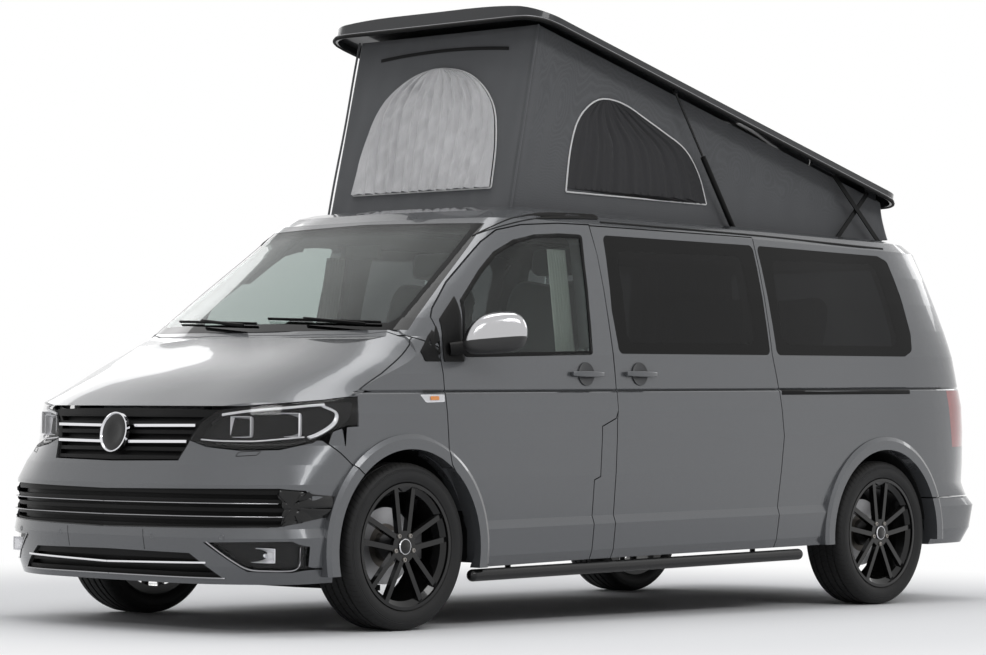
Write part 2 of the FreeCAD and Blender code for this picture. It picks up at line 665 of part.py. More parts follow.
def tailgate():
    """The tailgate with its window cut."""
    form = cut_all(BODY.common(tail_prism()), [FRONT_INNER])
    opening = front_prism(BACK_WINDOW_SHARES, -GLASS_LAP, -LENGTH, TAIL_FRONT_X)
    rebate = front_prism(BACK_WINDOW_SHARES, GLASS_EDGE_GAP, -LENGTH, TAIL_FRONT_X).cut(GLASS_INNER)
    return cut_all(form, (opening, rebate))


def tail_glass():
    zone = GLASS_OUTER.common(front_prism(BACK_WINDOW_SHARES, 0, -LENGTH, TAIL_FRONT_X))
    return zone.cut(GLASS_BACK)


def windscreen():
    zone = GLASS_OUTER.common(front_prism(SCREEN_SHARES, 0, 0))
    return zone.cut(GLASS_BACK)


def scuttle():
    """The bulkhead behind the engine with the trough under the windscreen."""
    form = envelope(BUMPER_WALL + CURVED_GAP).common(side_prism(SCUTTLE_SHARES, 0))
    form = cut_all(form, [bonnet_prism(SEAM)] + SCREEN_TOOLS)
    posts = []
    for side in (-1, 1):
        y = side * HINGE_POST_Y
        x = at(HINGE_POST_SHARE)
        post = box((x - HINGE_POST_HALF, y - HINGE_POST_HALF, side_point(SCUTTLE_SHARES[3]).z
                    - BONNET_THICKNESS),
                   (x + HINGE_POST_HALF, y + HINGE_POST_HALF, CLOSED_HEIGHT))
        posts.append(under_bonnet(post))
    form = form.fuse(posts)
    drum = across(FRONT_AXLE_X, ARCH_Z, FRONT_TUB_RADIUS + SEAL_GAP, ARCH_DEPTH - 2 * TUB_WALL, HALF_WIDTH)
    return cut_all(form, [drum, mirrored(drum)])


def tail_lamps():
    form = LEFT.common(side_prism(TAIL_LAMP_SHARES, 1)).cut(CABIN_INNER)
    return both_sides(cut_all(form, TAIL_TOOLS))


def rear_bumper():
    form = BODY.common(side_prism(REAR_BUMPER_SHARES, 0)).cut(FRONT_INNER)
    return cut_all(form, TAIL_TOOLS)


def tail_tools():
    """What the tailgate takes out of the tail: its pocket, the way in, the room its top turns in."""
    pocket = tail_prism(SEAM, SEAM).cut(envelope(BUMPER_WALL + CURVED_GAP))
    header_z = TAIL_HEADER_SHARE * CLOSED_HEIGHT
    header = tail_prism(SEAM, SEAM).common(box((-LENGTH, -LENGTH, header_z),
                                               (LENGTH, LENGTH, CLOSED_HEIGHT)))
    return [pocket, tail_prism(-APERTURE_STEP), header]


TAIL_TOOLS = tail_tools()
LAMP_TOOL = front_prism(LAMP_SHARES, SEAM, LAMP_BACK)
GRILLE_TOOL = front_prism(UPPER_GRILLE_SHARES, SEAM, LAMP_BACK)
SCREEN_TOOLS = screen_tools()


# Lifting roof, tent, struts and links

POP_HALF = 712.0
POP_DEPTH = 78.0
POP_WALL = 14.0
POP_CROWN = 34.0
POP_LENGTH = 2905.0
POP_CORNER = 150.0
TENT_HALF = 600.0
TENT_TOP_HALF = 585.0
TENT_WALL = 6.0
STRUT_Y = 640.0
STRUT_TUBE_RADIUS = 14.0
STRUT_ROD_RADIUS = 6.0
STRUT_TUBE_LENGTH = 430.0
STRUT_BORE_SHARE = 0.15
EYE_RADIUS = 11.0
EYE_HALF = 7.0
PIN_RADIUS = 5.0
PIN_GAP = 0.3
LINK_WIDTH = 24.0
LINK_THICKNESS = 6.0
LINK_GAP = 6.0

POP_FRONT = side_point(POP_FRONT_SHARE)
POP_REAR = side_point(POP_REAR_SHARE)
POP_SLOPE = math.degrees(math.atan2(POP_FRONT.z - POP_REAR.z, POP_FRONT.x - POP_REAR.x))


def pop_place(shape):
    """Tips the roof shell, drawn level with its lower rear edge at the origin, into its raised place."""
    shape = shape.copy()
    shape.rotate(Vector(0, 0, 0), Vector(0, 1, 0), -POP_SLOPE)
    shape.translate(POP_REAR)
    return shape


def pop_block(inset, low):
    """The roof shell's outer form, or its hollow: a crowned section inside the plan outline."""
    half = POP_HALF - inset
    top = POP_DEPTH - inset
    section = [
        Vector(0, -half, low), Vector(0, -half, top - POP_CROWN),
        Vector(0, -half * CROWN_SHARES[0], top - POP_CROWN * CROWN_SHARES[1]),
        Vector(0, 0, top), Vector(0, half * CROWN_SHARES[0], top - POP_CROWN * CROWN_SHARES[1]),
        Vector(0, half, top - POP_CROWN), Vector(0, half, low),
    ]
    crown = Part.BSplineCurve()
    crown.interpolate(Points=section[1:6])
    wire = Part.Wire([Part.makeLine(section[0], section[1]), crown.toShape(),
                      Part.makeLine(section[5], section[6]),
                      Part.makeLine(section[6], section[0])])
    bar = Part.Face(wire).extrude(Vector(POP_LENGTH, 0, 0))
    plan = [Vector(inset, -half, low), Vector(POP_LENGTH - inset, -half, low),
            Vector(POP_LENGTH - inset, half, low), Vector(inset, half, low)]
    outline = Part.Face(rounded(plan, POP_CORNER - inset)).extrude(Vector(0, 0, POP_DEPTH + POP_DEPTH))
    return bar.common(outline)


CROWN_SHARES = (0.8, 0.42)


def pop_top():
    """The lifting roof: a shallow moulded shell, open below."""
    shell = pop_place(pop_block(0, 0).cut(pop_block(POP_WALL, -POP_DEPTH)))
    held = shell_rails()
    return shell.fuse(held + [mirrored(part) for part in held])


def pop_under(x, depth=0):
    """Height of the raised shell's hollow above x, less a depth."""
    share = (x - POP_REAR.x) / (POP_FRONT.x - POP_REAR.x)
    return POP_REAR.z + (POP_FRONT.z - POP_REAR.z) * share - depth


TENT_FRONT_X = at(0.293)
TENT_REAR_X = at(1.502)
TENT_TOP_FRONT_X = at(0.343)
TENT_TOP_REAR_X = at(1.422)
TENT_RISE = 18.0


def tent_form(inset):
    """The tent between the fixed roof and the raised shell."""
    base = []
    top = []
    for x, top_x, side in ((TENT_FRONT_X - inset, TENT_TOP_FRONT_X - inset, -1),
                           (TENT_FRONT_X - inset, TENT_TOP_FRONT_X - inset, 1),
                           (TENT_REAR_X + inset, TENT_TOP_REAR_X + inset, 1),
                           (TENT_REAR_X + inset, TENT_TOP_REAR_X + inset, -1)):
        base.append(Vector(x, side * (TENT_HALF - inset), roof_z(x) - TRAY_DEPTH + SEAL_GAP))
        top.append(Vector(top_x, side * (TENT_TOP_HALF - inset), pop_under(top_x, -TENT_RISE)))
    return Part.makeLoft([polygon(base), polygon(top)], True, True)


def tent():
    return cut_all(tent_form(0), (tent_form(TENT_WALL), tail_prism(SEAM, SEAM)))


STRUT_FOOT = Vector(at(0.751), STRUT_Y, roof_z(at(0.751)) - TRAY_DEPTH + EYE_RADIUS + LINK_GAP)
STRUT_HEAD_X = at(0.614)
STRUT_HEAD = Vector(STRUT_HEAD_X, STRUT_Y, pop_under(STRUT_HEAD_X, -EYE_RADIUS - LINK_GAP))


def along_strut(distance):
    direction = STRUT_HEAD - STRUT_FOOT
    return STRUT_FOOT + direction.normalize() * distance


def eye(centre, hole):
    ring = across(centre.x, centre.z, EYE_RADIUS, centre.y - EYE_HALF, centre.y + EYE_HALF)
    return ring.cut(across(centre.x, centre.z, hole, centre.y - EYE_RADIUS, centre.y + EYE_RADIUS))


def lug(centre, half, side):
    """A plate up from the tray beside an eye, with its pin through the eye."""
    near = centre.y + side * (half + SEAL_GAP)
    far = near + side * LUG_THICKNESS
    root = roof_z(centre.x) - TRAY_DEPTH - LUG_ROOT
    plate = box((centre.x - EYE_RADIUS, min(near, far), root),
                (centre.x + EYE_RADIUS, max(near, far), centre.z + EYE_RADIUS))
    pin_end = centre.y - side * half
    return [plate, across(centre.x, centre.z, PIN_RADIUS, min(pin_end, near), max(pin_end, near))]


def rail(centre, half, side, ahead, behind):
    """A plate down from the lifting roof beside an eye, as long as the eye slides."""
    near = centre.y + side * (half + SEAL_GAP)
    front = centre.x + EYE_RADIUS + ahead
    rear = centre.x - EYE_RADIUS - behind
    low = centre.z - pop_under(centre.x) - EYE_RADIUS
    corners = [Vector(front, near, pop_under(front, -low)), Vector(rear, near, pop_under(rear, -low)),
               Vector(rear, near, pop_under(rear, -LUG_REACH)),
               Vector(front, near, pop_under(front, -LUG_REACH))]
    return Part.Face(polygon(corners)).extrude(Vector(0, side * LUG_THICKNESS, 0))


def roof_lugs():
    """What the fixed roof has on its left side for the struts' and links' feet."""
    pieces = lug(STRUT_FOOT, EYE_HALF, 1) + lug(LINK_A[0], LINK_THICKNESS / 2, 1)
    return pieces + lug(LINK_B[0], LINK_THICKNESS / 2, -1)


def shell_rails():
    """What the lifting roof has on its left side for their heads."""
    return [rail(STRUT_HEAD, EYE_HALF, 1, 0, 0), rail(LINK_A[1], LINK_THICKNESS / 2, 1, LINK_A_SLIDE, 0),
            rail(LINK_B[1], LINK_THICKNESS / 2, -1, 0, LINK_B_SLIDE)]


LINK_A_SLIDE = 160.0
LINK_B_SLIDE = 70.0
LUG_ROOT = 4.0
LUG_REACH = 46.0
LUG_THICKNESS = 5.0


def strut_tube():
    """The strut's cylinder with its foot eye, bored for the rod."""
    tube = rod(along_strut(2 * EYE_RADIUS), along_strut(STRUT_TUBE_LENGTH), STRUT_TUBE_RADIUS)
    neck = rod(along_strut(EYE_RADIUS - LINK_THICKNESS / 2), along_strut(3 * EYE_RADIUS), STRUT_ROD_RADIUS)
    bore = rod(along_strut(STRUT_TUBE_LENGTH * STRUT_BORE_SHARE),
               along_strut(STRUT_TUBE_LENGTH + OVERRUN), STRUT_ROD_RADIUS + SEAL_GAP)
    return tube.fuse([neck, eye(STRUT_FOOT, PIN_RADIUS + PIN_GAP)]).cut(bore)


def strut_rod():
    """The strut's rod with its head eye; it slides in the cylinder."""
    total = (STRUT_HEAD - STRUT_FOOT).Length
    bar = rod(along_strut(STRUT_TUBE_LENGTH - LINK_WIDTH),
              along_strut(total - EYE_RADIUS + LINK_THICKNESS / 2), STRUT_ROD_RADIUS)
    return bar.fuse(eye(STRUT_HEAD, PIN_RADIUS + PIN_GAP))


def link(foot, head):
    """A flat link with rounded ends, bored at its foot, and its crossing boss left plain."""
    direction = (head - foot).normalize()
    across_it = Vector(-direction.z, 0, direction.x) * (LINK_WIDTH / 2)
    low = Vector(0, -LINK_THICKNESS / 2, 0)
    corners = [foot + across_it + low, head + across_it + low, head - across_it + low, foot - across_it
               + low]
    bar = Part.Face(polygon(corners)).extrude(Vector(0, LINK_THICKNESS, 0))
    ends = [across(p.x, p.z, LINK_WIDTH / 2, p.y - LINK_THICKNESS / 2, p.y + LINK_THICKNESS / 2)
            for p in (foot, head)]
    return bar.fuse(ends).cut([across(p.x, p.z, PIN_RADIUS + PIN_GAP, 0, HALF_WIDTH) for p in (foot, head)])


LINK_A_FOOT_SHARE = 1.344
LINK_A_HEAD_SHARE = 0.978
LINK_B_FOOT_SHARE = 0.991
LINK_B_HEAD_SHARE = 1.238
LINK_LIFT = 18.0
LINK_B_LIFT = 7.0


def link_ends(foot_share, head_share, y, head_lift):
    foot_x = at(foot_share)
    head_x = at(head_share)
    foot = Vector(foot_x, y, roof_z(foot_x) - TRAY_DEPTH + LINK_LIFT)
    return foot, Vector(head_x, y, pop_under(head_x, -head_lift))


LINK_Y = STRUT_Y
LINK_A = link_ends(LINK_A_FOOT_SHARE, LINK_A_HEAD_SHARE, LINK_Y + LINK_GAP, LINK_LIFT)
LINK_B = link_ends(LINK_B_FOOT_SHARE, LINK_B_HEAD_SHARE, LINK_Y - LINK_GAP, LINK_B_LIFT)


# Seats, dash and furniture

SEAT_SHARES = [
    (0.244, 0.44), (0.246, 0.4625), (0.265, 0.47), (0.368, 0.4525), (0.418, 0.72), (0.424, 0.75),
    (0.447, 0.75),
    (0.45, 0.72), (0.413, 0.43), (0.406, 0.41), (0.265, 0.405),
]
SEAT_HALF = 250.0
SEAT_Y = 395.0
SEAT_BASE_SHARES = [(0.265, 0.415), (0.4, 0.4175), (0.391, 0.25), (0.274, 0.25)]
HEADREST_SHARES = [(0.426, 0.765), (0.43, 0.84), (0.435, 0.85), (0.454, 0.849), (0.459, 0.78),
                   (0.454, 0.766)]
HEADREST_HALF = 125.0
HEADREST_POST = 7.0
HEADREST_POST_LENGTH = 100.0
SEAT_FEET_HALF = 190.0
BENCH_SHARES = [
    (0.794, 0.4), (0.796, 0.4525), (0.812, 0.4625), (0.935, 0.4525), (0.979, 0.72), (0.985, 0.745),
    (1.03, 0.745),
    (1.04, 0.715), (0.979, 0.43), (0.971, 0.25), (0.812, 0.25),
]
BENCH_HALF = 490.0
BENCH_Y = 65.0
SEAT_ROUND = 22.0
KITCHEN_SHARES = [(0.459, 0.25), (0.459, 0.585), (0.779, 0.585), (0.779, 0.25)]
KITCHEN_DEPTH = 330.0
DASH_SHARES = [
    (0.046, 0.5), (0.046, 0.6), (0.059, 0.626), (0.124, 0.6225), (0.153, 0.6), (0.165, 0.56), (0.153, 0.53),
    (0.129, 0.5), (0.088, 0.47),
]
DASH_INSET = 5.0
WHEEL_Y = 400.0
STEERING_RADIUS = 190.0
STEERING_GRIP = 14.0
STEERING_SHARE = (0.203, 0.59)
STEERING_TILT = 62.0
COLUMN_RADIUS = 28.0


def extruded(shares, low_y, high_y, corner=0, raised=0):
    """A side view outline given a width."""
    points = [side_point(share, low_y) + Vector(0, 0, raised) for share in shares]
    wire = rounded(points, corner) if corner else polygon(points)
    return Part.Face(wire).extrude(Vector(0, high_y - low_y, 0))


def seat(y):
    """A cab seat: box base, one moulded cushion and back, headrest on two posts."""
    shell = extruded(SEAT_SHARES, y - SEAT_HALF, y + SEAT_HALF, SEAT_ROUND)
    base = extruded(SEAT_BASE_SHARES, y - SEAT_FEET_HALF, y + SEAT_FEET_HALF)
    head = extruded(HEADREST_SHARES, y - HEADREST_HALF, y + HEADREST_HALF, SEAT_ROUND)
    posts = []
    for side in (-1, 1):
        foot = side_point(SEAT_SHARES[6]) + Vector(SEAT_ROUND, y + side * HEADREST_HALF / 2, -SEAT_ROUND)
        posts.append(rod(foot, foot + Vector(0, 0, HEADREST_POST_LENGTH), HEADREST_POST))
    return shell.fuse([base, head] + posts)


def bench():
    return extruded(BENCH_SHARES, BENCH_Y - BENCH_HALF, BENCH_Y + BENCH_HALF, SEAT_ROUND)


def kitchen():
    """The furniture along the far wall, cut to the wall's inner form."""
    block = extruded(KITCHEN_SHARES, -HALF_WIDTH, -HALF_WIDTH + DOOR_THICKNESS + PILLAR_DEPTH
                     + KITCHEN_DEPTH)
    return block.common(envelope(DOOR_THICKNESS + PILLAR_DEPTH + DASH_INSET))


def dashboard():
    block = extruded(DASH_SHARES, -HALF_WIDTH, HALF_WIDTH)
    block.translate(Vector(-SEAL_GAP, 0, 0))
    return block.common(envelope(DOOR_THICKNESS + PILLAR_DEPTH + DASH_INSET))


def steering_wheel():
    centre = side_point(STEERING_SHARE, -WHEEL_Y)
    rim = Part.makeTorus(STEERING_RADIUS, STEERING_GRIP, Vector(0, 0, 0), Vector(0, 0, 1))
    hub = Part.makeCylinder(COLUMN_RADIUS * 2, STEERING_GRIP * 2, Vector(0, 0, -STEERING_GRIP))
    spokes = [Part.makeBox(STEERING_RADIUS * 2, STEERING_GRIP * 2, STEERING_GRIP,
                           Vector(-STEERING_RADIUS, -STEERING_GRIP, -STEERING_GRIP / 2)),
              Part.makeBox(STEERING_GRIP * 2, STEERING_RADIUS, STEERING_GRIP,
                           Vector(-STEERING_GRIP, -STEERING_RADIUS, -STEERING_GRIP / 2))]
    column = Part.makeCylinder(COLUMN_RADIUS, COLUMN_LENGTH, Vector(0, 0, -COLUMN_LENGTH))
    wheel = rim.fuse([hub, column] + spokes)
    wheel.rotate(Vector(0, 0, 0), Vector(0, 1, 0), -STEERING_TILT)
    wheel.translate(centre)
    return wheel.cut(dashboard())


COLUMN_LENGTH = 170.0


# Floor, engine and running gear

SILL_DEPTH = 110.0
TUB_WALL = 5.0
FRONT_TUB_LOW = -120.0
REAR_TUB_LOW = 75.0
RAIL_Y = 400.0
RAIL_HALF = 35.0
REAR_TUB_INNER = 560.0
REAR_TUB_OUTER = 880.0
FRONT_TUB_RADIUS = 446.0
FRONT_TUB_OUTER = 814.0
ENGINE_LOW_SHARE = 0.215
ENGINE_HIGH_SHARE = 0.48
ENGINE_FRONT_SHARE = -0.705
ENGINE_BACK_SHARE = 0.006
ENGINE_HALF = 330.0


def tub(x, radius, inner, outside, low):
    """A wheel housing: half a drum over the tyre with a wall on its inner side."""
    drum = across(x, ARCH_Z, radius, inner, outside)
    drum = drum.cut(across(x, ARCH_Z, radius - TUB_WALL, inner + TUB_WALL, outside + OVERRUN))
    return drum.cut(box((x - LENGTH, -LENGTH, -LENGTH), (x + LENGTH, LENGTH, ARCH_Z + low)))


def floor_pan():
    """The cabin floor with its sills, the lengthwise rails and the four wheel housings."""
    slab = extruded(FLOOR_SHARES, -HALF_WIDTH, HALF_WIDTH, raised=-SEAL_GAP)
    slab = slab.common(envelope(DOOR_THICKNESS + PILLAR_DEPTH + SEAL_GAP))
    low = HALF_WIDTH - DOOR_THICKNESS - PILLAR_DEPTH - SILL_DEPTH
    sill = extruded(SILL_SHARES, low, HALF_WIDTH,
                    raised=-SEAL_GAP).common(envelope(DOOR_THICKNESS + SILL_GAP))
    rail = extruded(RAIL_SHARES, RAIL_Y - RAIL_HALF, RAIL_Y + RAIL_HALF, raised=-SEAL_GAP)
    beam = side_prism(REAR_BEAM_SHARES, 0).common(envelope(BUMPER_WALL + SEAL_GAP))
    beam = beam.cut(envelope(BUMPER_WALL + REAR_BEAM_DEPTH))
    pieces = []
    for part in (sill, rail):
        pieces += [part, mirrored(part)]
    for station in JACK_SHARES:
        pad = side_point((station, SILL_SHARES[2][1]), JACK_Y)
        block = box((pad.x - JACK_LONG / 2, pad.y - JACK_WIDE / 2, pad.z - JACK_DROP),
                    (pad.x + JACK_LONG / 2, pad.y + JACK_WIDE / 2, pad.z + JACK_LONG / 2))
        pieces += [block, mirrored(block)]
    slab = slab.fuse([beam] + pieces)
    holes = []
    shells = []
    for x, radius, inner, outside, low in HOUSINGS:
        hole = across(x, ARCH_Z, radius - TUB_WALL, inner + TUB_WALL, HALF_WIDTH + OVERRUN)
        holes += [hole, mirrored(hole)]
        shell = tub(x, radius, inner, outside, low)
        shells += [shell, mirrored(shell)]
    return cut_all(slab, holes).fuse(shells)


HOUSINGS = (
    (FRONT_AXLE_X, FRONT_TUB_RADIUS, ARCH_DEPTH - TUB_WALL, FRONT_TUB_OUTER, FRONT_TUB_LOW),
    (REAR_AXLE_X, ARCH_RADIUS - SEAL_GAP, REAR_TUB_INNER, REAR_TUB_OUTER, REAR_TUB_LOW),
)
REAR_BEAM_DEPTH = 45.0
JACK_SHARES = (0.188, 0.7)
JACK_Y = 790.0
JACK_LONG = 90.0
JACK_WIDE = 44.0
JACK_DROP = 9.0


def carrier():
    """The panel behind the nose that carries the bumper, the grilles and the lamps."""
    form = envelope(BUMPER_WALL + SEAL_GAP).common(side_prism(CARRIER_SHARES, 0))
    form = form.cut(envelope(BUMPER_WALL + CARRIER_DEPTH))
    boxes = []
    for side in (-1, 1):
        z = side_point(RAIL_SHARES[1]).z
        high = side_point(RAIL_SHARES[0]).z
        boxes.append(box((at(RAIL_SHARES[0][0]) + SEAL_GAP, side * RAIL_Y - RAIL_HALF, z),
                         (FRONT_AXLE_X + FRONT_OVERHANG - BUMPER_WALL - CARRIER_DEPTH, side * RAIL_Y
                          + RAIL_HALF, high)))
        buffer = Part.makeCylinder(BUFFER_RADIUS, CLOSED_HEIGHT,
                                   Vector(at(BUFFER_STATION_SHARE), side * BUFFER_Y,
                                          side_point(CARRIER_SHARES[0]).z - BUFFER_RADIUS))
        boxes.append(under_bonnet(buffer))
    form = form.fuse(boxes)
    return cut_all(form, [across(FRONT_AXLE_X, ARCH_Z, FRONT_TUB_RADIUS + SEAL_GAP, ARCH_DEPTH - 2
                                 * TUB_WALL, HALF_WIDTH),
                          across(FRONT_AXLE_X, ARCH_Z, FRONT_TUB_RADIUS + SEAL_GAP, -HALF_WIDTH, 2
                                 * TUB_WALL - ARCH_DEPTH)])


def under_bonnet(shape):
    """What is left of a shape under the bonnet's panel."""
    below = BODY.copy()
    below.translate(Vector(0, 0, -BONNET_THICKNESS - SEAL_GAP))
    return shape.common(below)


CARRIER_DEPTH = 40.0
BUFFER_RADIUS = 12.0
BUFFER_STATION_SHARE = -0.76
BUFFER_Y = 420.0
HINGE_POST_SHARE = -0.07
HINGE_POST_Y = 640.0
HINGE_POST_HALF = 16.0


RAIL_SHARES = [(-0.771, 0.26), (-0.771, 0.2125), (0.088, 0.2125), (0.147, 0.185), (0.853, 0.185),
               (0.912, 0.2), (1.899, 0.2), (1.899, 0.224), (1.753, 0.224), (1.753, 0.25), (0.026, 0.25)]


def engine():
    """The engine and gearbox, as one plain block in its place."""
    return box((at(ENGINE_BACK_SHARE), -ENGINE_HALF, ENGINE_LOW_SHARE * CLOSED_HEIGHT),
               (at(ENGINE_FRONT_SHARE), ENGINE_HALF, ENGINE_HIGH_SHARE * CLOSED_HEIGHT))


# The steered axle: knuckles that turn on a line from the lower ball to the top of the strut
BALL_Y = 735.0
BALL_Z = 190.0
BALL_RADIUS = 20.0
BALL_STEM_RADIUS = 7.0
STRUT_TOP_Y = 622.0
KNUCKLE_HALF = 32.0
HUB_FACE_Y = 742.0
HUB_GAP = 0.3
CARRIER_RADIUS = 62.0
DISC_RADIUS = 166.0
DISC_HALF = 14.0
DISC_Y = 775.0
DISC_GAP = 2.0
STEM_LOW_SHARE = 0.2
SPRING_RADIUS = 40.0
SPRING_SEAT_SHARE = 0.66
SPRING_TOP_DROP = 8.6
ARM_THICKNESS = 24.0
ARM_SPREAD = 190.0
POST_SHARES = (-0.8, 0.3)
POST_WIDTH = 49.0
ARM_INNER_Y = 345.0
SUBFRAME_HIGH = 40.0
STEM_RADIUS = 24.0
STRUT_TOP_Z = ARCH_Z + FRONT_TUB_RADIUS - TUB_WALL - SPRING_TOP_DROP
CALIPER_HALF_SHARE = 0.36


def kingpin(share):
    """A point of the steering axis, from the lower ball to the strut's top."""
    foot = Vector(FRONT_AXLE_X, BALL_Y, BALL_Z)
    top = Vector(FRONT_AXLE_X, STRUT_TOP_Y, STRUT_TOP_Z)
    return foot + (top - foot) * share


def knuckle():
    """The left steering knuckle: carrier, lower ball stud, strut with its spring, and the caliper."""
    x = FRONT_AXLE_X
    inner_y = STRUT_TOP_Y + SPRING_RADIUS
    hub = across(x, TYRE_RADIUS, CARRIER_RADIUS, inner_y, HUB_FACE_Y - HUB_GAP)
    lower = box((x - KNUCKLE_HALF, inner_y, BALL_Z + BALL_RADIUS),
                (x + KNUCKLE_HALF, HUB_FACE_Y - HUB_GAP, TYRE_RADIUS))
    seat = kingpin((BALL_RADIUS / 2 + HUB_GAP) / (STRUT_TOP_Z - BALL_Z))
    ball = Part.makeSphere(BALL_RADIUS / 2, seat)
    stud = rod(seat, kingpin(STEM_LOW_SHARE), BALL_STEM_RADIUS)
    stem = rod(kingpin(STEM_LOW_SHARE), kingpin(1), STEM_RADIUS)
    spring = rod(kingpin(SPRING_SEAT_SHARE), kingpin(1), SPRING_RADIUS)
    return hub.fuse([lower, ball, stud, stem, spring] + caliper(x, -1))


def caliper(x, side):
    """A brake caliper astride the disc, held to the carrier by a bracket."""
    centre = x + side * DISC_RADIUS
    half = DISC_RADIUS * CALIPER_HALF_SHARE
    outer_half = DISC_Y + DISC_HALF + DISC_GAP
    body = box((centre - KNUCKLE_HALF, DISC_Y - 2 * KNUCKLE_HALF, TYRE_RADIUS - half),
               (centre + KNUCKLE_HALF, outer_half + ARM_THICKNESS, TYRE_RADIUS + half))
    slot = across(x, TYRE_RADIUS, DISC_RADIUS + DISC_GAP, DISC_Y - DISC_HALF - DISC_GAP, outer_half)
    arm = box((min(x, centre), DISC_Y - 2 * KNUCKLE_HALF, TYRE_RADIUS - KNUCKLE_HALF),
              (max(x, centre), HUB_FACE_Y - HUB_GAP, TYRE_RADIUS + KNUCKLE_HALF))
    return [body.cut(slot), arm]


def subframe():
    """The front subframe with its lower arms, each ending under its ball stud."""
    x = FRONT_AXLE_X
    low = BALL_Z - ARM_THICKNESS
    beam = box((x - ARM_SPREAD, -ARM_INNER_Y, low), (x + ARM_SPREAD / 2, ARM_INNER_Y, low + SUBFRAME_HIGH))
    posts = []
    for share in POST_SHARES:
        px = x + ARM_SPREAD * share
        posts.append(box((px - RAIL_HALF / 2, RAIL_Y - RAIL_HALF - POST_WIDTH, low),
                         (px + RAIL_HALF / 2, RAIL_Y - RAIL_HALF - HUB_GAP, ENGINE_LOW_SHARE
                          * CLOSED_HEIGHT - HUB_GAP)))
    corners = [Vector(x - ARM_SPREAD, ARM_INNER_Y - ARM_THICKNESS, low),
               Vector(x + ARM_SPREAD / 2, ARM_INNER_Y - ARM_THICKNESS, low),
               Vector(x + BALL_RADIUS, BALL_Y, low), Vector(x - BALL_RADIUS, BALL_Y, low)]
    arm = Part.Face(polygon(corners)).extrude(Vector(0, 0, ARM_THICKNESS))
    arm = arm.fuse(Part.makeCylinder(BALL_RADIUS, ARM_THICKNESS, Vector(x, BALL_Y, low)))
    return beam.fuse([arm, mirrored(arm)] + posts + [mirrored(post) for post in posts])


def rear_axle():
    """The rear axle: a cross beam, trailing arms, hub carriers, springs and calipers."""
    x = REAR_AXLE_X
    z = TYRE_RADIUS
    pieces = []
    carrier = across(x, z, CARRIER_RADIUS, BALL_Y - KNUCKLE_HALF, HUB_FACE_Y - HUB_GAP)
    arm = Part.Face(polygon([
        Vector(x + ARM_LENGTH, RAIL_Y - RAIL_HALF, z - ARM_THICKNESS),
        Vector(x + ARM_LENGTH, RAIL_Y + RAIL_HALF * 2, z - ARM_THICKNESS),
        Vector(x + CARRIER_RADIUS, BALL_Y, z - ARM_THICKNESS),
        Vector(x - CARRIER_RADIUS, BALL_Y, z - ARM_THICKNESS),
        Vector(x - CARRIER_RADIUS, RAIL_Y + RAIL_HALF, z - ARM_THICKNESS),
    ])).extrude(Vector(0, 0, ARM_THICKNESS * 2))
    spring_z = z + ARM_THICKNESS
    top = RAIL_SHARES[5][1] * CLOSED_HEIGHT + rise(x + SPRING_RADIUS) - SEAL_GAP - HUB_GAP
    spring = Part.makeCylinder(SPRING_RADIUS, top - spring_z, Vector(x, RAIL_Y + RAIL_HALF / 2, spring_z))
    for part in [carrier, arm, spring] + caliper(x, 1):
        pieces += [part, mirrored(part)]
    beam = box((x + ARM_LENGTH - RAIL_HALF, -RAIL_Y, z - ARM_THICKNESS),
               (x + ARM_LENGTH + RAIL_HALF, RAIL_Y, z + ARM_THICKNESS))
    return beam.fuse(pieces)


ARM_LENGTH = 430.0


def exhaust():
    """The exhaust: a pipe along the floor with its silencer and tail pipe."""
    z = side_point(EXHAUST_SHARE).z
    y = EXHAUST_Y
    front = at(EXHAUST_FRONT_SHARE)
    middle = at(EXHAUST_SHARE[0])
    tail = at(EXHAUST_TAIL_SHARE)
    pipe = rod((front, y, z), (tail, y, z), EXHAUST_RADIUS)
    silencer = rod((middle, y, z), (middle - SILENCER_LENGTH, y, z), SILENCER_RADIUS)
    place = middle - SILENCER_LENGTH / 2
    under = FLOOR_SHARES[2][1] * CLOSED_HEIGHT + rise(place + EXHAUST_RADIUS) - SEAL_GAP - HUB_GAP
    hanger = box((place - EXHAUST_RADIUS, y - EXHAUST_RADIUS, z),
                 (place + EXHAUST_RADIUS, y + EXHAUST_RADIUS, under))
    return pipe.fuse([silencer, hanger])


EXHAUST_SHARE = (0.559, 0.165)
EXHAUST_FRONT_SHARE = 0.088
EXHAUST_TAIL_SHARE = 0.853
EXHAUST_Y = -150.0
EXHAUST_RADIUS = 28.0
SILENCER_RADIUS = 75.0
SILENCER_LENGTH = 520.0

BAR_RADIUS = 27.0
BAR_Y = 905.0
BAR_FRONT_SHARE = (0.126, 0.109)
BAR_REAR_SHARE = (0.803, 0.109)
BAR_LEG_SHARES = (0.16, 0.5, 0.92)


def side_bar():
    """The bar below the left sill, on legs from the sill."""
    front = side_point(BAR_FRONT_SHARE, BAR_Y)
    rear = side_point(BAR_REAR_SHARE, BAR_Y)
    bar = rod(rear, front, BAR_RADIUS)
    ends = [Part.makeSphere(BAR_RADIUS, point) for point in (front, rear)]
    legs = []
    for share in BAR_LEG_SHARES:
        place = front + (rear - front) * share
        reach = HALF_WIDTH - DOOR_THICKNESS - SILL_DEPTH
        top = Vector(place.x, reach, side_point(SILL_SHARES[2]).z)
        legs.append(Part.makeCylinder(BAR_RADIUS / 2, place.y - reach, Vector(place.x, reach, place.z),
                                      Vector(0, 1, 0)))
        sill_low = SILL_SHARES[2][1] * CLOSED_HEIGHT + rise(place.x)
        legs.append(Part.makeCylinder(BAR_RADIUS / 2, sill_low - place.z - 2 * HUB_GAP,
                                      Vector(place.x, reach, place.z)))
    return bar.fuse(ends + legs)


# Wheels and tyres

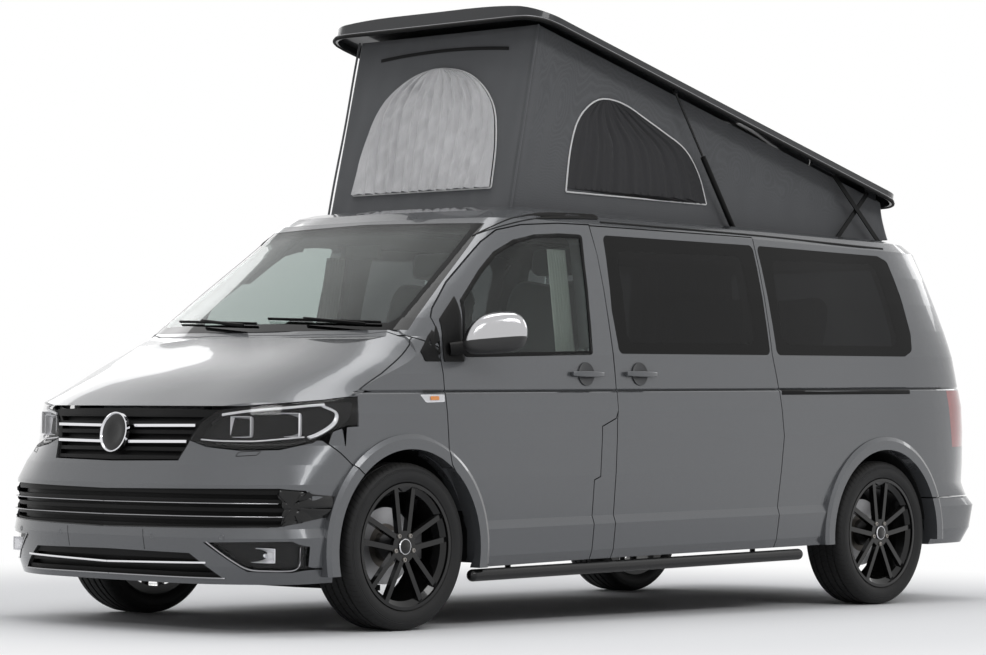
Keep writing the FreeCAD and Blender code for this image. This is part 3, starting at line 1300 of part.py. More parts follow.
RIM_LIP = 14.0
RIM_WELL_SHARE = 0.86
SPOKES = 5
SPOKE_HUB_RADIUS = 68.0
SPOKE_THICKNESS = 26.0
SPOKE_WIDTH_SHARE = 0.085


def tyre(x):
    """A low-profile tyre as one turned ring seated on its rim."""
    z = TYRE_RADIUS
    y = HALF_TRACK
    half = TYRE_WIDTH / 2
    inner = RIM_RADIUS + SEAL_GAP
    depth = TYRE_RADIUS - inner
    profile = [Vector(x, y + half * share[0], z + inner + depth * share[1]) for share in TYRE_SHARES]
    profile += [Vector(x, y - half * share[0], z + inner + depth * share[1])
                for share in reversed(TYRE_SHARES)]
    return turned(profile, Vector(x, y, z), Vector(0, 1, 0))


TYRE_SHARES = [(0.86, 0), (0.96, 0.14), (1.0, 0.45), (0.97, 0.75), (0.9, 0.93), (0.78, 1.0), (0.3, 1.0)]


def wheel(x):
    """An alloy wheel with double spokes, its brake disc and hub in one."""
    z = TYRE_RADIUS
    y = HALF_TRACK
    half = RIM_WIDTH / 2
    face = y + half - RIM_LIP
    lip = RIM_RADIUS - RIM_LIP
    well = RIM_RADIUS * RIM_WELL_SHARE
    profile = [
        Vector(x, y - half, z + RIM_RADIUS), Vector(x, y + half, z + RIM_RADIUS),
        Vector(x, y + half, z + lip),
        Vector(x, y + half - RIM_LIP, z + lip), Vector(x, y + half - RIM_LIP * 2, z + well),
        Vector(x, y - half, z + well),
    ]
    barrel = turned(profile, Vector(x, y, z), Vector(0, 1, 0))
    spokes = []
    for i in range(SPOKES):
        for side in (-1, 1):
            angle = FULL_TURN / SPOKES * i
            wide = RIM_RADIUS * SPOKE_WIDTH_SHARE / 2
            near = SPOKE_HUB_RADIUS * SPOKE_NEAR_SHARE
            offset_in = side * SPOKE_HUB_RADIUS * SPOKE_ROOT_SHARE
            offset_out = side * RIM_RADIUS * SPOKE_SPREAD_SHARE
            points = [Vector(offset_in - wide, face, near), Vector(offset_in + wide, face, near),
                      Vector(offset_out + wide, face, lip), Vector(offset_out - wide, face, lip)]
            blade = Part.Face(polygon(points)).extrude(Vector(0, -SPOKE_THICKNESS, 0))
            blade.rotate(Vector(0, 0, 0), Vector(0, 1, 0), angle)
            blade.translate(Vector(x, 0, z))
            spokes.append(blade)
    centre = across(x, z, SPOKE_HUB_RADIUS, HUB_FACE_Y, face)
    disc = across(x, z, DISC_RADIUS, DISC_Y - DISC_HALF, DISC_Y + DISC_HALF)
    return barrel.fuse([centre, disc] + spokes)


SPOKE_NEAR_SHARE = 0.7
SPOKE_ROOT_SHARE = 0.35
SPOKE_SPREAD_SHARE = 0.2

MIRROR_MIDDLE_SHARE = (0.125, 0.64)
MIRROR_MIDDLE_Y = 1040.0
MIRROR_SIZE = (150.0, 225.0, 180.0)
MIRROR_ROUND = 58.0
MIRROR_SWEEP = 24.0
MIRROR_ARM_SHARES = [(0.07, 0.914), (0.098, 0.914), (0.126, 1.061), (0.106, 1.061)]
MIRROR_ARM_LOW_SHARE = 0.6025
MIRROR_ARM_HEIGHT = 46.0


def door_mirror():
    """The left mirror: a rounded housing on an arm from the door's corner."""
    long, wide, high = MIRROR_SIZE
    shell = box((-long / 2, -wide / 2, -high / 2), (long / 2, wide / 2, high / 2))
    shell = shell.makeFillet(MIRROR_ROUND, shell.Edges)
    shell.rotate(Vector(0, 0, 0), Vector(0, 0, 1), MIRROR_SWEEP)
    shell.translate(side_point(MIRROR_MIDDLE_SHARE, MIRROR_MIDDLE_Y))
    foot = side_point((MIRROR_ARM_SHARES[0][0], MIRROR_ARM_LOW_SHARE)).z
    plan = [Vector(at(share[0]), share[1] * HALF_WIDTH, foot) for share in MIRROR_ARM_SHARES]
    arm = Part.Face(polygon(plan)).extrude(Vector(0, 0, MIRROR_ARM_HEIGHT))
    return shell.fuse(arm.cut(envelope(-SEAL_GAP)))


# Everything made and written out

side_wall = wall()
save("body_side_left", cut_all(side_wall, door_tools(SLIDING_DOOR_SHARES)))
save("body_side_right", mirrored(cut_all(side_wall, window_tools(SLIDING_WINDOW_SHARES))))
front_door = door(FRONT_DOOR_SHARES, FRONT_WINDOW_SHARES)
save("door_left", front_door)
save("door_right", mirrored(front_door))
save("sliding_door", door(SLIDING_DOOR_SHARES, SLIDING_WINDOW_SHARES))
door_pane = side_glass(FRONT_WINDOW_SHARES)
middle_pane = side_glass(SLIDING_WINDOW_SHARES)
save("door_glass_left", door_pane)
save("door_glass_right", mirrored(door_pane))
save("sliding_door_glass", middle_pane)
save("side_glass", Part.makeCompound([both_sides(side_glass(REAR_WINDOW_SHARES)), mirrored(middle_pane)]))
side_mirror = door_mirror()
save("mirror_left", side_mirror)
save("mirror_right", mirrored(side_mirror))
save("front_wings", both_sides(wing()))
save("bonnet", bonnet())
save("front_bumper", front_bumper())
save("front_lamps", front_lamps())
save("upper_grille", grille(UPPER_GRILLE_SHARES, UPPER_BARS))
save("bumper_grilles", Part.makeCompound([grille(MIDDLE_GRILLE_SHARES, MIDDLE_BARS),
                                          grille(LOWER_GRILLE_SHARES, LOWER_BARS)]))
save("roof_panel", roof_panel())
save("tailgate", tailgate())
save("tailgate_glass", tail_glass())
save("windscreen", windscreen())
save("scuttle", scuttle())
save("tail_lamps", tail_lamps())
save("rear_bumper", rear_bumper())
save("pop_top", pop_top())
save("tent", tent())
save("strut_tubes", both_sides(strut_tube()))
save("strut_rods", both_sides(strut_rod()))
save("links_rear", both_sides(link(LINK_A[0], LINK_A[1])))
save("links_front", both_sides(link(LINK_B[0], LINK_B[1])))
save("front_seats", Part.makeCompound([seat(SEAT_Y), seat(-SEAT_Y)]))
save("rear_bench", bench())
save("kitchen_unit", kitchen())
save("dashboard", dashboard())
save("steering_wheel", steering_wheel())
save("floor_pan", floor_pan())
save("engine", engine())
save("nose_carrier", carrier())
steered = knuckle()
save("knuckle_left", steered)
save("knuckle_right", mirrored(steered))
save("front_subframe", subframe())
save("rear_axle", rear_axle())
save("exhaust", exhaust())
save("side_bars", both_sides(side_bar()))
for end, place in (("front", FRONT_AXLE_X), ("rear", REAR_AXLE_X)):
    rubber = tyre(place)
    alloy = wheel(place)
    save("tyre_" + end + "_left", rubber)
    save("tyre_" + end + "_right", mirrored(rubber))
    save("wheel_" + end + "_left", alloy)
    save("wheel_" + end + "_right", mirrored(alloy))
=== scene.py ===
# %% [markdown]
# # A camper van with its lifting roof raised
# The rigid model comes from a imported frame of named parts. This lesson dresses it: paint, glass,
# rubber and cloth get their finishes, and what is too fine or too soft for the frame is modelled here.
# Everything is in metres. X points to the front of the van, Y to its left and Z up from the road.

# %% Load the frame
import json
import math
from functools import partial

import bpy
from mathutils import Matrix, Vector
from mathutils.bvhtree import BVHTree


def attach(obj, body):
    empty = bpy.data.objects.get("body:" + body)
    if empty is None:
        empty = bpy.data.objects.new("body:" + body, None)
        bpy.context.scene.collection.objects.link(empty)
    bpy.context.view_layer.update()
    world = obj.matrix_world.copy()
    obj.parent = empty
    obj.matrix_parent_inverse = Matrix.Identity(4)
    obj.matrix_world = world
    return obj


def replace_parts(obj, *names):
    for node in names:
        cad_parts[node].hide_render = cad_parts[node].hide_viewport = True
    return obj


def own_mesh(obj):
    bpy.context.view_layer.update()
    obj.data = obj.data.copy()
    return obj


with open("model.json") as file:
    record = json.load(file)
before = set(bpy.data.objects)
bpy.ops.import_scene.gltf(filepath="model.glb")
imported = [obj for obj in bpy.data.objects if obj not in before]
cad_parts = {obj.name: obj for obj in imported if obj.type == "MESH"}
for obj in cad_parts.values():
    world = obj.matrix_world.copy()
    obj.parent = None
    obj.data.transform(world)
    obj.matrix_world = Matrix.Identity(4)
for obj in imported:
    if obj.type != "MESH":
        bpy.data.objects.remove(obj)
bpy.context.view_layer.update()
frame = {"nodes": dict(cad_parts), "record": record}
NODES = frame["nodes"]

AXLE_X = 1.744
RAKE = 0.018
TYRE_RADIUS = 0.360
HALF_TRACK = 0.814
REAR_AXLE_X = AXLE_X - 3.4

# %% [markdown]
# ## Reading places on the van
# A photograph of a side gives stations along the van and heights above its sloping base line. One
# function turns such a pair into a place, and two more find the painted skin there by casting a ray,
# so that each fitting sits exactly on the panel that carries it. The right side mirrors the left one.

# %% Helpers that read places
def station(along_mm, height_mm, y=0.0):
    """A place from its distance ahead of the front axle and its height above the raked base line."""
    return Vector((AXLE_X + along_mm / 1000, y, height_mm / 1000 - RAKE * along_mm / 1000))


def tree_of(*names):
    """One search tree over several nodes of the frame."""
    points = []
    faces = []
    for name in names:
        mesh = NODES[name].data
        first = len(points)
        points += [vertex.co.copy() for vertex in mesh.vertices]
        faces += [[first + index for index in polygon.vertices] for polygon in mesh.polygons]
    return BVHTree.FromPolygons(points, faces)


SHELL = tree_of("body_side_left", "body_side_right", "door_left", "door_right", "sliding_door", "front_wings",
                "bonnet", "front_bumper", "roof_panel", "tailgate", "rear_bumper", "windscreen",
                "door_glass_left", "door_glass_right", "sliding_door_glass", "side_glass", "tailgate_glass",
                "front_lamps", "tail_lamps", "upper_grille", "bumper_grilles")
FAR = 6.0


def met(tree, start, way, otherwise):
    """Where a ray first meets a tree, and the normal there; another place where it misses."""
    place, normal, _, _ = tree.ray_cast(start, way)
    return (otherwise, -way) if place is None else (place, normal)


def on_side(x, z):
    """The outermost point of the left side at x and z, and its normal."""
    return met(SHELL, Vector((x, FAR, z)), Vector((0, -1, 0)), Vector((x, 0.93, z)))


def on_front(y, z):
    """The foremost point at y and z, and its normal."""
    return met(SHELL, Vector((FAR, y, z)), Vector((-1, 0, 0)), Vector((2.5, y, z)))


def beside(points):
    """From stations and heights in millimetres to places in the van's length and height."""
    return [(AXLE_X + along / 1000, height / 1000) for along, height in points]


# %% [markdown]
# ## The camera
# The photograph was taken with a long lens from ahead and to the left, at the height of the headlamps.
# Its place was found by fitting known points of the van, so the camera is set by numbers, not by eye.

# %% Camera
camera_data = bpy.data.cameras.new("camera")
camera_data.lens = 118.3
camera_data.sensor_width = 36.0
camera_data.shift_x = 0.0421
camera_data.shift_y = 0.0495
camera_data.clip_end = 200.0
camera = bpy.data.objects.new("camera", camera_data)
bpy.context.scene.collection.objects.link(camera)
EYE = (11.598, 10.667, 0.885)
YAW, PITCH, ROLL = math.radians(223.92), math.radians(0.85), math.radians(0.54)
look = Vector((math.cos(PITCH) * math.cos(YAW), math.cos(PITCH) * math.sin(YAW), math.sin(PITCH)))
level = look.to_track_quat("-Z", "Y").to_matrix().to_4x4()
camera.matrix_world = Matrix.Translation(EYE) @ level @ Matrix.Rotation(ROLL, 4, "Z")
bpy.context.scene.camera = camera

# %% [markdown]
# ## Floor, light and background
# A studio floor is one sheet of pale paper. Close to the van it takes the shadow; further out it
# fades to the white of the background, so no horizon shows. The lamps are large and soft, because a
# car's paint is read from the edges of large bright panels mirrored in it.

# %% Stage
bpy.ops.object.select_all(action="DESELECT")
bpy.ops.mesh.primitive_plane_add(size=120.0)
floor = bpy.context.object
floor.name = "studio_floor"


def new_material(name):
    """An empty node material with its Principled shader and its output."""
    material = bpy.data.materials.new(name)
    material.use_nodes = True
    nodes = material.node_tree.nodes
    return material, nodes, material.node_tree.links, nodes["Principled BSDF"]


def math_node(nodes, links, operation, first, second=None, third=None, clamp=False):
    """One Math node fed by sockets or plain numbers."""
    node = nodes.new("ShaderNodeMath")
    node.operation = operation
    node.use_clamp = clamp
    for slot, value in enumerate((first, second, third)):
        if value is None:
            continue
        if isinstance(value, (int, float)):
            node.inputs[slot].default_value = value
        else:
            links.new(value, node.inputs[slot])
    return node.outputs[0]


paper, nodes, links, shader = new_material("studio_paper")
calc = partial(math_node, nodes, links)
shader.inputs["Base Color"].default_value = (0.86, 0.86, 0.87, 1)
shader.inputs["Roughness"].default_value = 0.8
shader.inputs["Specular IOR Level"].default_value = 0.2
where = nodes.new("ShaderNodeTexCoord")
length = nodes.new("ShaderNodeVectorMath")
length.operation = "LENGTH"
links.new(where.outputs["Object"], length.inputs[0])
fade = nodes.new("ShaderNodeMapRange")
fade.interpolation_type = "SMOOTHSTEP"
fade.inputs["From Min"].default_value = 2.6
fade.inputs["From Max"].default_value = 5.5
links.new(length.outputs["Value"], fade.inputs["Value"])
path = nodes.new("ShaderNodeLightPath")
mirrored_rays = calc("ADD", path.outputs["Is Glossy Ray"], path.outputs["Is Transmission Ray"])
shown_rays = calc("ADD", path.outputs["Is Camera Ray"], mirrored_rays, clamp=True)
seen = calc("MULTIPLY", fade.outputs["Result"], shown_rays)
glow = nodes.new("ShaderNodeEmission")
mix = nodes.new("ShaderNodeMixShader")
links.new(seen, mix.inputs["Fac"])
links.new(shader.outputs[0], mix.inputs[1])
links.new(glow.outputs[0], mix.inputs[2])
links.new(mix.outputs[0], nodes["Material Output"].inputs["Surface"])
floor.data.materials.append(paper)

world = bpy.data.worlds.new("studio_world")
bpy.context.scene.world = world
world.use_nodes = True
nodes, links = world.node_tree.nodes, world.node_tree.links
calc = partial(math_node, nodes, links)
background = nodes["Background"]
where = nodes.new("ShaderNodeTexCoord")
split = nodes.new("ShaderNodeSeparateXYZ")
links.new(where.outputs["Generated"], split.inputs[0])
ramp = nodes.new("ShaderNodeValToRGB")
ramp.color_ramp.elements[0].position = 0.0
ramp.color_ramp.elements[0].color = (0.16, 0.16, 0.165, 1)
ramp.color_ramp.elements[1].position = 0.75
ramp.color_ramp.elements[1].color = (0.52, 0.53, 0.54, 1)
links.new(split.outputs["Z"], ramp.inputs["Fac"])
path = nodes.new("ShaderNodeLightPath")
plain = nodes.new("ShaderNodeMix")
plain.data_type = "RGBA"
mirrored_rays = calc("ADD", path.outputs["Is Glossy Ray"], path.outputs["Is Transmission Ray"])
links.new(calc("ADD", path.outputs["Is Camera Ray"], mirrored_rays, clamp=True), plain.inputs["Factor"])
links.new(ramp.outputs["Color"], plain.inputs[6])
plain.inputs[7].default_value = (1, 1, 1, 1)
links.new(plain.outputs[2], background.inputs["Color"])


def lamp(name, place, target, size, power):
    """A large soft panel of light that faces its target."""
    data = bpy.data.lights.new(name, "AREA")
    data.shape = "RECTANGLE"
    data.size, data.size_y = size
    data.energy = power
    light = bpy.data.objects.new(name, data)
    bpy.context.scene.collection.objects.link(light)
    aim = (Vector(target) - Vector(place)).to_track_quat("-Z", "Y").to_matrix().to_4x4()
    light.matrix_world = Matrix.Translation(place) @ aim


lamp("overhead_panel", (0.0, 0.0, 6.8), (0.0, 0.0, 1.0), (6.5, 2.4), 150.0)
lamp("left_strip", (1.5, 7.5, 5.6), (0.0, 0.5, 1.0), (8.0, 0.9), 190.0)
lamp("front_strip", (8.5, 3.0, 4.4), (1.5, 0.2, 0.8), (3.6, 0.7), 70.0)
lamp("right_panel", (-1.0, -8.0, 4.6), (0.0, 0.0, 1.1), (7.0, 2.2), 80.0)
lamp("rear_panel", (-9.0, 0.5, 4.2), (-2.0, 0.0, 1.1), (3.5, 2.2), 60.0)
bpy.context.scene.view_settings.view_transform = "Standard"
print("camera at", tuple(round(value, 3) for value in camera.location))

# %% [markdown]
# ## Effects that several finishes share
# Real surfaces are never one flat colour. Dust, fine grain, metal flake and weave are small patterns
# that many finishes need, so each is a node group with named inputs. A group gives out only colours,
# masks and normals; the shader itself stays in each material.

# %% Node groups
def new_group(name, **inputs):
    """A node group with named inputs that gives out a colour, a roughness and a normal."""
    group = bpy.data.node_groups.new(name, "ShaderNodeTree")
    for label, value in inputs.items():
        kind = "NodeSocketColor" if isinstance(value, tuple) else "NodeSocketFloat"
        socket = group.interface.new_socket(name=label.replace("_", " "), in_out="INPUT", socket_type=kind)
        socket.default_value = value
    for label, kind in (("Colour", "Color"), ("Roughness", "Float"), ("Normal", "Vector")):
        group.interface.new_socket(name=label, in_out="OUTPUT", socket_type="NodeSocket" + kind)
    start = group.nodes.new("NodeGroupInput")
    end = group.nodes.new("NodeGroupOutput")
    return group, group.nodes, group.links, start, end


def noise(nodes, links, vector, scale, detail=3.0, rough=0.55):
    """One noise texture on a vector; the scale may be a socket."""
    texture = nodes.new("ShaderNodeTexNoise")
    links.new(vector, texture.inputs["Vector"])
    if isinstance(scale, (int, float)):
        texture.inputs["Scale"].default_value = scale
    else:
        links.new(scale, texture.inputs["Scale"])
    texture.inputs["Detail"].default_value = detail
    texture.inputs["Roughness"].default_value = rough
    return texture.outputs["Fac"]


def blend_colour(nodes, links, factor, first, second):
    """A colour mix; each input is a socket or a colour."""
    node = nodes.new("ShaderNodeMix")
    node.data_type = "RGBA"
    for slot, value in ((0, factor), (6, first), (7, second)):
        if isinstance(value, (int, float, tuple)):
            node.inputs[slot].default_value = value
        else:
            links.new(value, node.inputs[slot])
    return node.outputs[2]


def spread(nodes, links, value, low, high, to_low=0.0, to_high=1.0):
    """A smooth step of a value from one range to another."""
    node = nodes.new("ShaderNodeMapRange")
    node.interpolation_type = "SMOOTHSTEP"
    links.new(value, node.inputs["Value"])
    for label, number in (("From Min", low), ("From Max", high), ("To Min", to_low), ("To Max", to_high)):
        node.inputs[label].default_value = number
    return node.outputs["Result"]


def make_flake():
    """Metal flake and very faint waviness of sprayed paint."""
    group, nodes, links, start, end = new_group("metal_flake", Colour=(0.2, 0.2, 0.2, 1), Flake_Size=900.0,
                                                Strength=0.3, Roughness=0.3)
    calc = partial(math_node, nodes, links)
    where = nodes.new("ShaderNodeTexCoord").outputs["Object"]
    cells = nodes.new("ShaderNodeTexVoronoi")
    links.new(where, cells.inputs["Vector"])
    links.new(start.outputs["Flake Size"], cells.inputs["Scale"])
    bright = nodes.new("ShaderNodeSeparateColor")
    links.new(cells.outputs["Color"], bright.inputs[0])
    lift = calc("MULTIPLY", calc("SUBTRACT", bright.outputs[0], 0.5), start.outputs["Strength"])
    tint = nodes.new("ShaderNodeHueSaturation")
    links.new(calc("ADD", lift, 1.0), tint.inputs["Value"])
    links.new(start.outputs["Colour"], tint.inputs["Color"])
    links.new(tint.outputs["Color"], end.inputs["Colour"])
    haze = noise(nodes, links, where, 3.0)
    links.new(calc("ADD", start.outputs["Roughness"], calc("MULTIPLY", haze, 0.05)), end.inputs["Roughness"])
    bump = nodes.new("ShaderNodeBump")
    bump.inputs["Strength"].default_value = 0.02
    bump.inputs["Distance"].default_value = 0.0006
    links.new(noise(nodes, links, where, 260.0, 2.0), bump.inputs["Height"])
    links.new(bump.outputs["Normal"], end.inputs["Normal"])
    return group


def make_grain():
    """Fine moulded grain with a little dirt in it, for plastics, rubber, castings and steel."""
    group, nodes, links, start, end = new_group("moulded_grain", Colour=(0.05, 0.05, 0.05, 1),
                                                Grain_Size=700.0, Depth=0.2, Roughness=0.5, Variation=0.25,
                                                Dust=0.1)
    calc = partial(math_node, nodes, links)
    where = nodes.new("ShaderNodeTexCoord").outputs["Object"]
    fine = noise(nodes, links, where, start.outputs["Grain Size"], 2.0)
    broad = noise(nodes, links, where, 6.0, 5.0)
    shade = calc("MULTIPLY", calc("SUBTRACT", broad, 0.5), start.outputs["Variation"])
    tint = nodes.new("ShaderNodeHueSaturation")
    links.new(calc("ADD", shade, 1.0), tint.inputs["Value"])
    links.new(start.outputs["Colour"], tint.inputs["Color"])
    up = nodes.new("ShaderNodeSeparateXYZ")
    links.new(nodes.new("ShaderNodeNewGeometry").outputs["Normal"], up.inputs[0])
    settled = calc("MULTIPLY", spread(nodes, links, up.outputs["Z"], 0.3, 1.0),
                   calc("MULTIPLY", broad, start.outputs["Dust"]), clamp=True)
    links.new(blend_colour(nodes, links, settled, tint.outputs["Color"], (0.32, 0.30, 0.27, 1)),
              end.inputs["Colour"])
    rough = calc("ADD", start.outputs["Roughness"], calc("MULTIPLY", shade, 0.6))
    links.new(calc("ADD", rough, calc("MULTIPLY", settled, 0.4), clamp=True), end.inputs["Roughness"])
    bump = nodes.new("ShaderNodeBump")
    links.new(start.outputs["Depth"], bump.inputs["Strength"])
    bump.inputs["Distance"].default_value = 0.0008
    links.new(fine, bump.inputs["Height"])
    links.new(bump.outputs["Normal"], end.inputs["Normal"])
    return group


def make_weave():
    """Warp and weft threads, read from all three directions so that no UV map is needed."""
    group, nodes, links, start, end = new_group("thread_weave", Colour=(0.1, 0.1, 0.1, 1),
                                                Thread_Colour=(0.2, 0.2, 0.2, 1), Threads=900.0, Depth=0.3,
                                                Variation=0.2)
    calc = partial(math_node, nodes, links)
    where = nodes.new("ShaderNodeTexCoord").outputs["Object"]
    waves = []
    for axis in ("X", "Y", "Z"):
        wave = nodes.new("ShaderNodeTexWave")
        wave.bands_direction = axis
        wave.inputs["Distortion"].default_value = 0.4
        wave.inputs["Detail"].default_value = 1.0
        links.new(where, wave.inputs["Vector"])
        links.new(start.outputs["Threads"], wave.inputs["Scale"])
        waves.append(wave.outputs["Fac"])
    threads = calc("MAXIMUM", calc("MAXIMUM", waves[0], waves[1]), waves[2])
    broad = noise(nodes, links, where, 4.0, 4.0)
    shade = calc("MULTIPLY", calc("SUBTRACT", broad, 0.5), start.outputs["Variation"])
    share = calc("ADD", calc("MULTIPLY", threads, 0.7), shade, clamp=True)
    links.new(blend_colour(nodes, links, share, start.outputs["Colour"], start.outputs["Thread Colour"]),
              end.inputs["Colour"])
    links.new(calc("ADD", 0.82, calc("MULTIPLY", shade, 0.3)), end.inputs["Roughness"])
    bump = nodes.new("ShaderNodeBump")
    links.new(start.outputs["Depth"], bump.inputs["Strength"])
    bump.inputs["Distance"].default_value = 0.0006
    links.new(threads, bump.inputs["Height"])
    links.new(bump.outputs["Normal"], end.inputs["Normal"])
    return group


def place_axes(nodes, links):
    """A node that gives the X, Y and Z of a point of the surface."""
    split = nodes.new("ShaderNodeSeparateXYZ")
    links.new(nodes.new("ShaderNodeTexCoord").outputs["Object"], split.inputs[0])
    return split


def across_both(calc, first, second):
    """The length of two steps at a right angle to each other."""
    return calc("SQRT", calc("ADD", calc("MULTIPLY", first, first), calc("MULTIPLY", second, second)))


FLAKE, GRAIN, WEAVE = make_flake(), make_grain(), make_weave()
print("node groups", [group.name for group in (FLAKE, GRAIN, WEAVE)])

# %% [markdown]
# ## Finishes
# Each finish is a Principled shader. Plain numbers such as coat or sheen are set straight on it, and
# only what changes over the surface comes from the groups.

# %% Finishes
def place_group(nodes, group, **values):
    """Puts a group into a material and sets its inputs."""
    node = nodes.new("ShaderNodeGroup")
    node.node_tree = group
    for label, value in values.items():
        node.inputs[label.replace("_", " ")].default_value = value
    return node


def finish(name, group, plain=None, **values):
    """A material whose colour, roughness and normal come from one shared effect."""
    material, nodes, links, shader = new_material(name)
    effect = place_group(nodes, group, **values)
    links.new(effect.outputs["Colour"], shader.inputs["Base Color"])
    links.new(effect.outputs["Roughness"], shader.inputs["Roughness"])
    links.new(effect.outputs["Normal"], shader.inputs["Normal"])
    for label, value in (plain or {}).items():
        shader.inputs[label].default_value = value
    return material


def grey(level):
    """A grey with a trace of blue."""
    return (level, level, level * 1.03, 1)


GLOSS_COAT = {"Coat Weight": 0.55, "Coat Roughness": 0.03, "Coat IOR": 1.32}
DEEP_COAT = {"Coat Weight": 1.0, "Coat Roughness": 0.03, "Coat IOR": 1.28, "Specular IOR Level": 0.15}
MATT = {"Specular IOR Level": 0.12}
paint = finish("grey_metallic_paint", FLAKE, {"Metallic": 0.45, **GLOSS_COAT},
               Colour=(0.104, 0.108, 0.115, 1), Flake_Size=1400.0, Strength=0.35, Roughness=0.30)
gloss_black = finish("gloss_black_plastic", GRAIN, DEEP_COAT, Colour=grey(0.006), Grain_Size=900.0,
                     Depth=0.02, Roughness=0.25, Variation=0.2, Dust=0.02)
satin_black = finish("satin_black_plastic", GRAIN, MATT, Colour=grey(0.006), Grain_Size=1100.0, Depth=0.25,
                     Roughness=0.48, Variation=0.35, Dust=0.08)
rubber = finish("seal_rubber", GRAIN, MATT, Colour=grey(0.007), Grain_Size=500.0, Depth=0.15, Roughness=0.62,
                Variation=0.3, Dust=0.10)
chrome = finish("bright_plating", GRAIN, {"Metallic": 1.0}, Colour=grey(0.78), Grain_Size=300.0, Depth=0.01,
                Roughness=0.07, Variation=0.05, Dust=0.01)
smoked_chrome = finish("bar_steel", GRAIN, {"Metallic": 1.0}, Colour=grey(0.33), Grain_Size=300.0, Depth=0.02,
                       Roughness=0.16, Variation=0.08, Dust=0.03)
reflector = finish("lamp_reflector", GRAIN, {"Metallic": 0.4}, Colour=grey(0.85), Grain_Size=120.0,
                   Depth=0.03, Roughness=0.22, Variation=0.05, Dust=0.0)
cast_metal = finish("rough_casting", GRAIN, {"Metallic": 0.6}, Colour=grey(0.13), Grain_Size=320.0, Depth=0.5,
                    Roughness=0.55, Variation=0.5, Dust=0.15)
dull_steel = finish("pipe_steel", GRAIN, {"Metallic": 0.9}, Colour=(0.33, 0.31, 0.29, 1), Grain_Size=240.0,
                    Depth=0.2, Roughness=0.42, Variation=0.5, Dust=0.2)
underseal = finish("underseal", GRAIN, MATT, Colour=grey(0.014), Grain_Size=160.0, Depth=0.5, Roughness=0.7,
                   Variation=0.5, Dust=0.3)
cabin_plastic = finish("grained_cabin_plastic", GRAIN, MATT, Colour=grey(0.018), Grain_Size=800.0, Depth=0.5,
                       Roughness=0.55, Variation=0.2, Dust=0.05)
roof_skin = finish("lifting_roof_gelcoat", FLAKE, {"Metallic": 0.2, **DEEP_COAT},
                   Colour=(0.030, 0.031, 0.033, 1), Flake_Size=900.0, Strength=0.25, Roughness=0.33)
tyre_rubber = finish("tyre_rubber", GRAIN, None, Colour=grey(0.020), Grain_Size=260.0, Depth=0.3,
                     Roughness=0.68, Variation=0.4, Dust=0.12)
canvas = finish("tent_canvas", WEAVE, {"Sheen Weight": 0.25, "Sheen Roughness": 0.5},
                Colour=(0.040, 0.042, 0.045, 1), Thread_Colour=(0.115, 0.118, 0.125, 1), Threads=520.0,
                Depth=0.35, Variation=0.35)
silver_cloth = finish("silver_lining", WEAVE, {"Metallic": 0.75, "Sheen Weight": 0.2},
                      Colour=(0.20, 0.20, 0.21, 1), Thread_Colour=(0.72, 0.72, 0.73, 1), Threads=420.0,
                      Depth=0.15, Variation=0.5)
mesh_cloth = finish("fly_mesh", WEAVE, None, Colour=(0.006, 0.006, 0.007, 1),
                    Thread_Colour=(0.035, 0.035, 0.038, 1), Threads=260.0, Depth=0.7, Variation=0.2)
white_piping = finish("white_piping", WEAVE, None, Colour=(0.60, 0.60, 0.60, 1),
                      Thread_Colour=(0.85, 0.85, 0.85, 1), Threads=900.0, Depth=0.3, Variation=0.1)
seat_cloth = finish("seat_cloth", WEAVE, {"Sheen Weight": 0.3}, Colour=(0.045, 0.046, 0.050, 1),
                    Thread_Colour=(0.130, 0.132, 0.140, 1), Threads=460.0, Depth=0.5, Variation=0.3)
curtain_cloth = finish("curtain_cloth", WEAVE, {"Sheen Weight": 0.3}, Colour=(0.42, 0.41, 0.39, 1),
                       Thread_Colour=(0.66, 0.65, 0.62, 1), Threads=700.0, Depth=0.2, Variation=0.2)
board = finish("furniture_board", GRAIN, {"Coat Weight": 0.3}, Colour=(0.44, 0.42, 0.38, 1), Grain_Size=90.0,
               Depth=0.04, Roughness=0.35, Variation=0.2, Dust=0.02)


def glass(name, colour, index=1.45, rough=0.0):
    """Clear or tinted glass, with a trace of film on it."""
    material, nodes, links, shader = new_material(name)
    calc = partial(math_node, nodes, links)
    where = nodes.new("ShaderNodeTexCoord").outputs["Object"]
    film = noise(nodes, links, where, 5.0, 4.0)
    links.new(blend_colour(nodes, links, calc("MULTIPLY", film, 0.06), colour, (0.9, 0.9, 0.9, 1)),
              shader.inputs["Base Color"])
    links.new(spread(nodes, links, film, 0.45, 0.8, rough, rough + 0.03), shader.inputs["Roughness"])
    shader.inputs["Transmission Weight"].default_value = 1.0
    shader.inputs["IOR"].default_value = index
    return material


clear_glass = glass("clear_glass", (0.80, 0.84, 0.84, 1))
dark_glass = glass("privacy_glass", (0.050, 0.053, 0.056, 1), 1.25)
clear_lens = finish("clear_lens", GRAIN, {"Alpha": 0.16, "Specular IOR Level": 1.0, "Coat Weight": 1.0},
                    Colour=grey(0.03), Grain_Size=40.0, Depth=0.01, Roughness=0.05, Variation=0.1, Dust=0.0)
red_lens = finish("red_lens", GRAIN,
                  {"Coat Weight": 1.0, "Coat Roughness": 0.02, "Transmission Weight": 0.35},
                  Colour=(0.42, 0.006, 0.008, 1), Grain_Size=120.0, Depth=0.1, Roughness=0.12, Variation=0.3,
                  Dust=0.0)
amber_lens = finish("amber_lens", GRAIN, {"Coat Weight": 1.0}, Colour=(0.75, 0.24, 0.02, 1), Grain_Size=150.0,
                    Depth=0.1, Roughness=0.15, Variation=0.2, Dust=0.0)
print("finishes ready", len(bpy.data.materials))

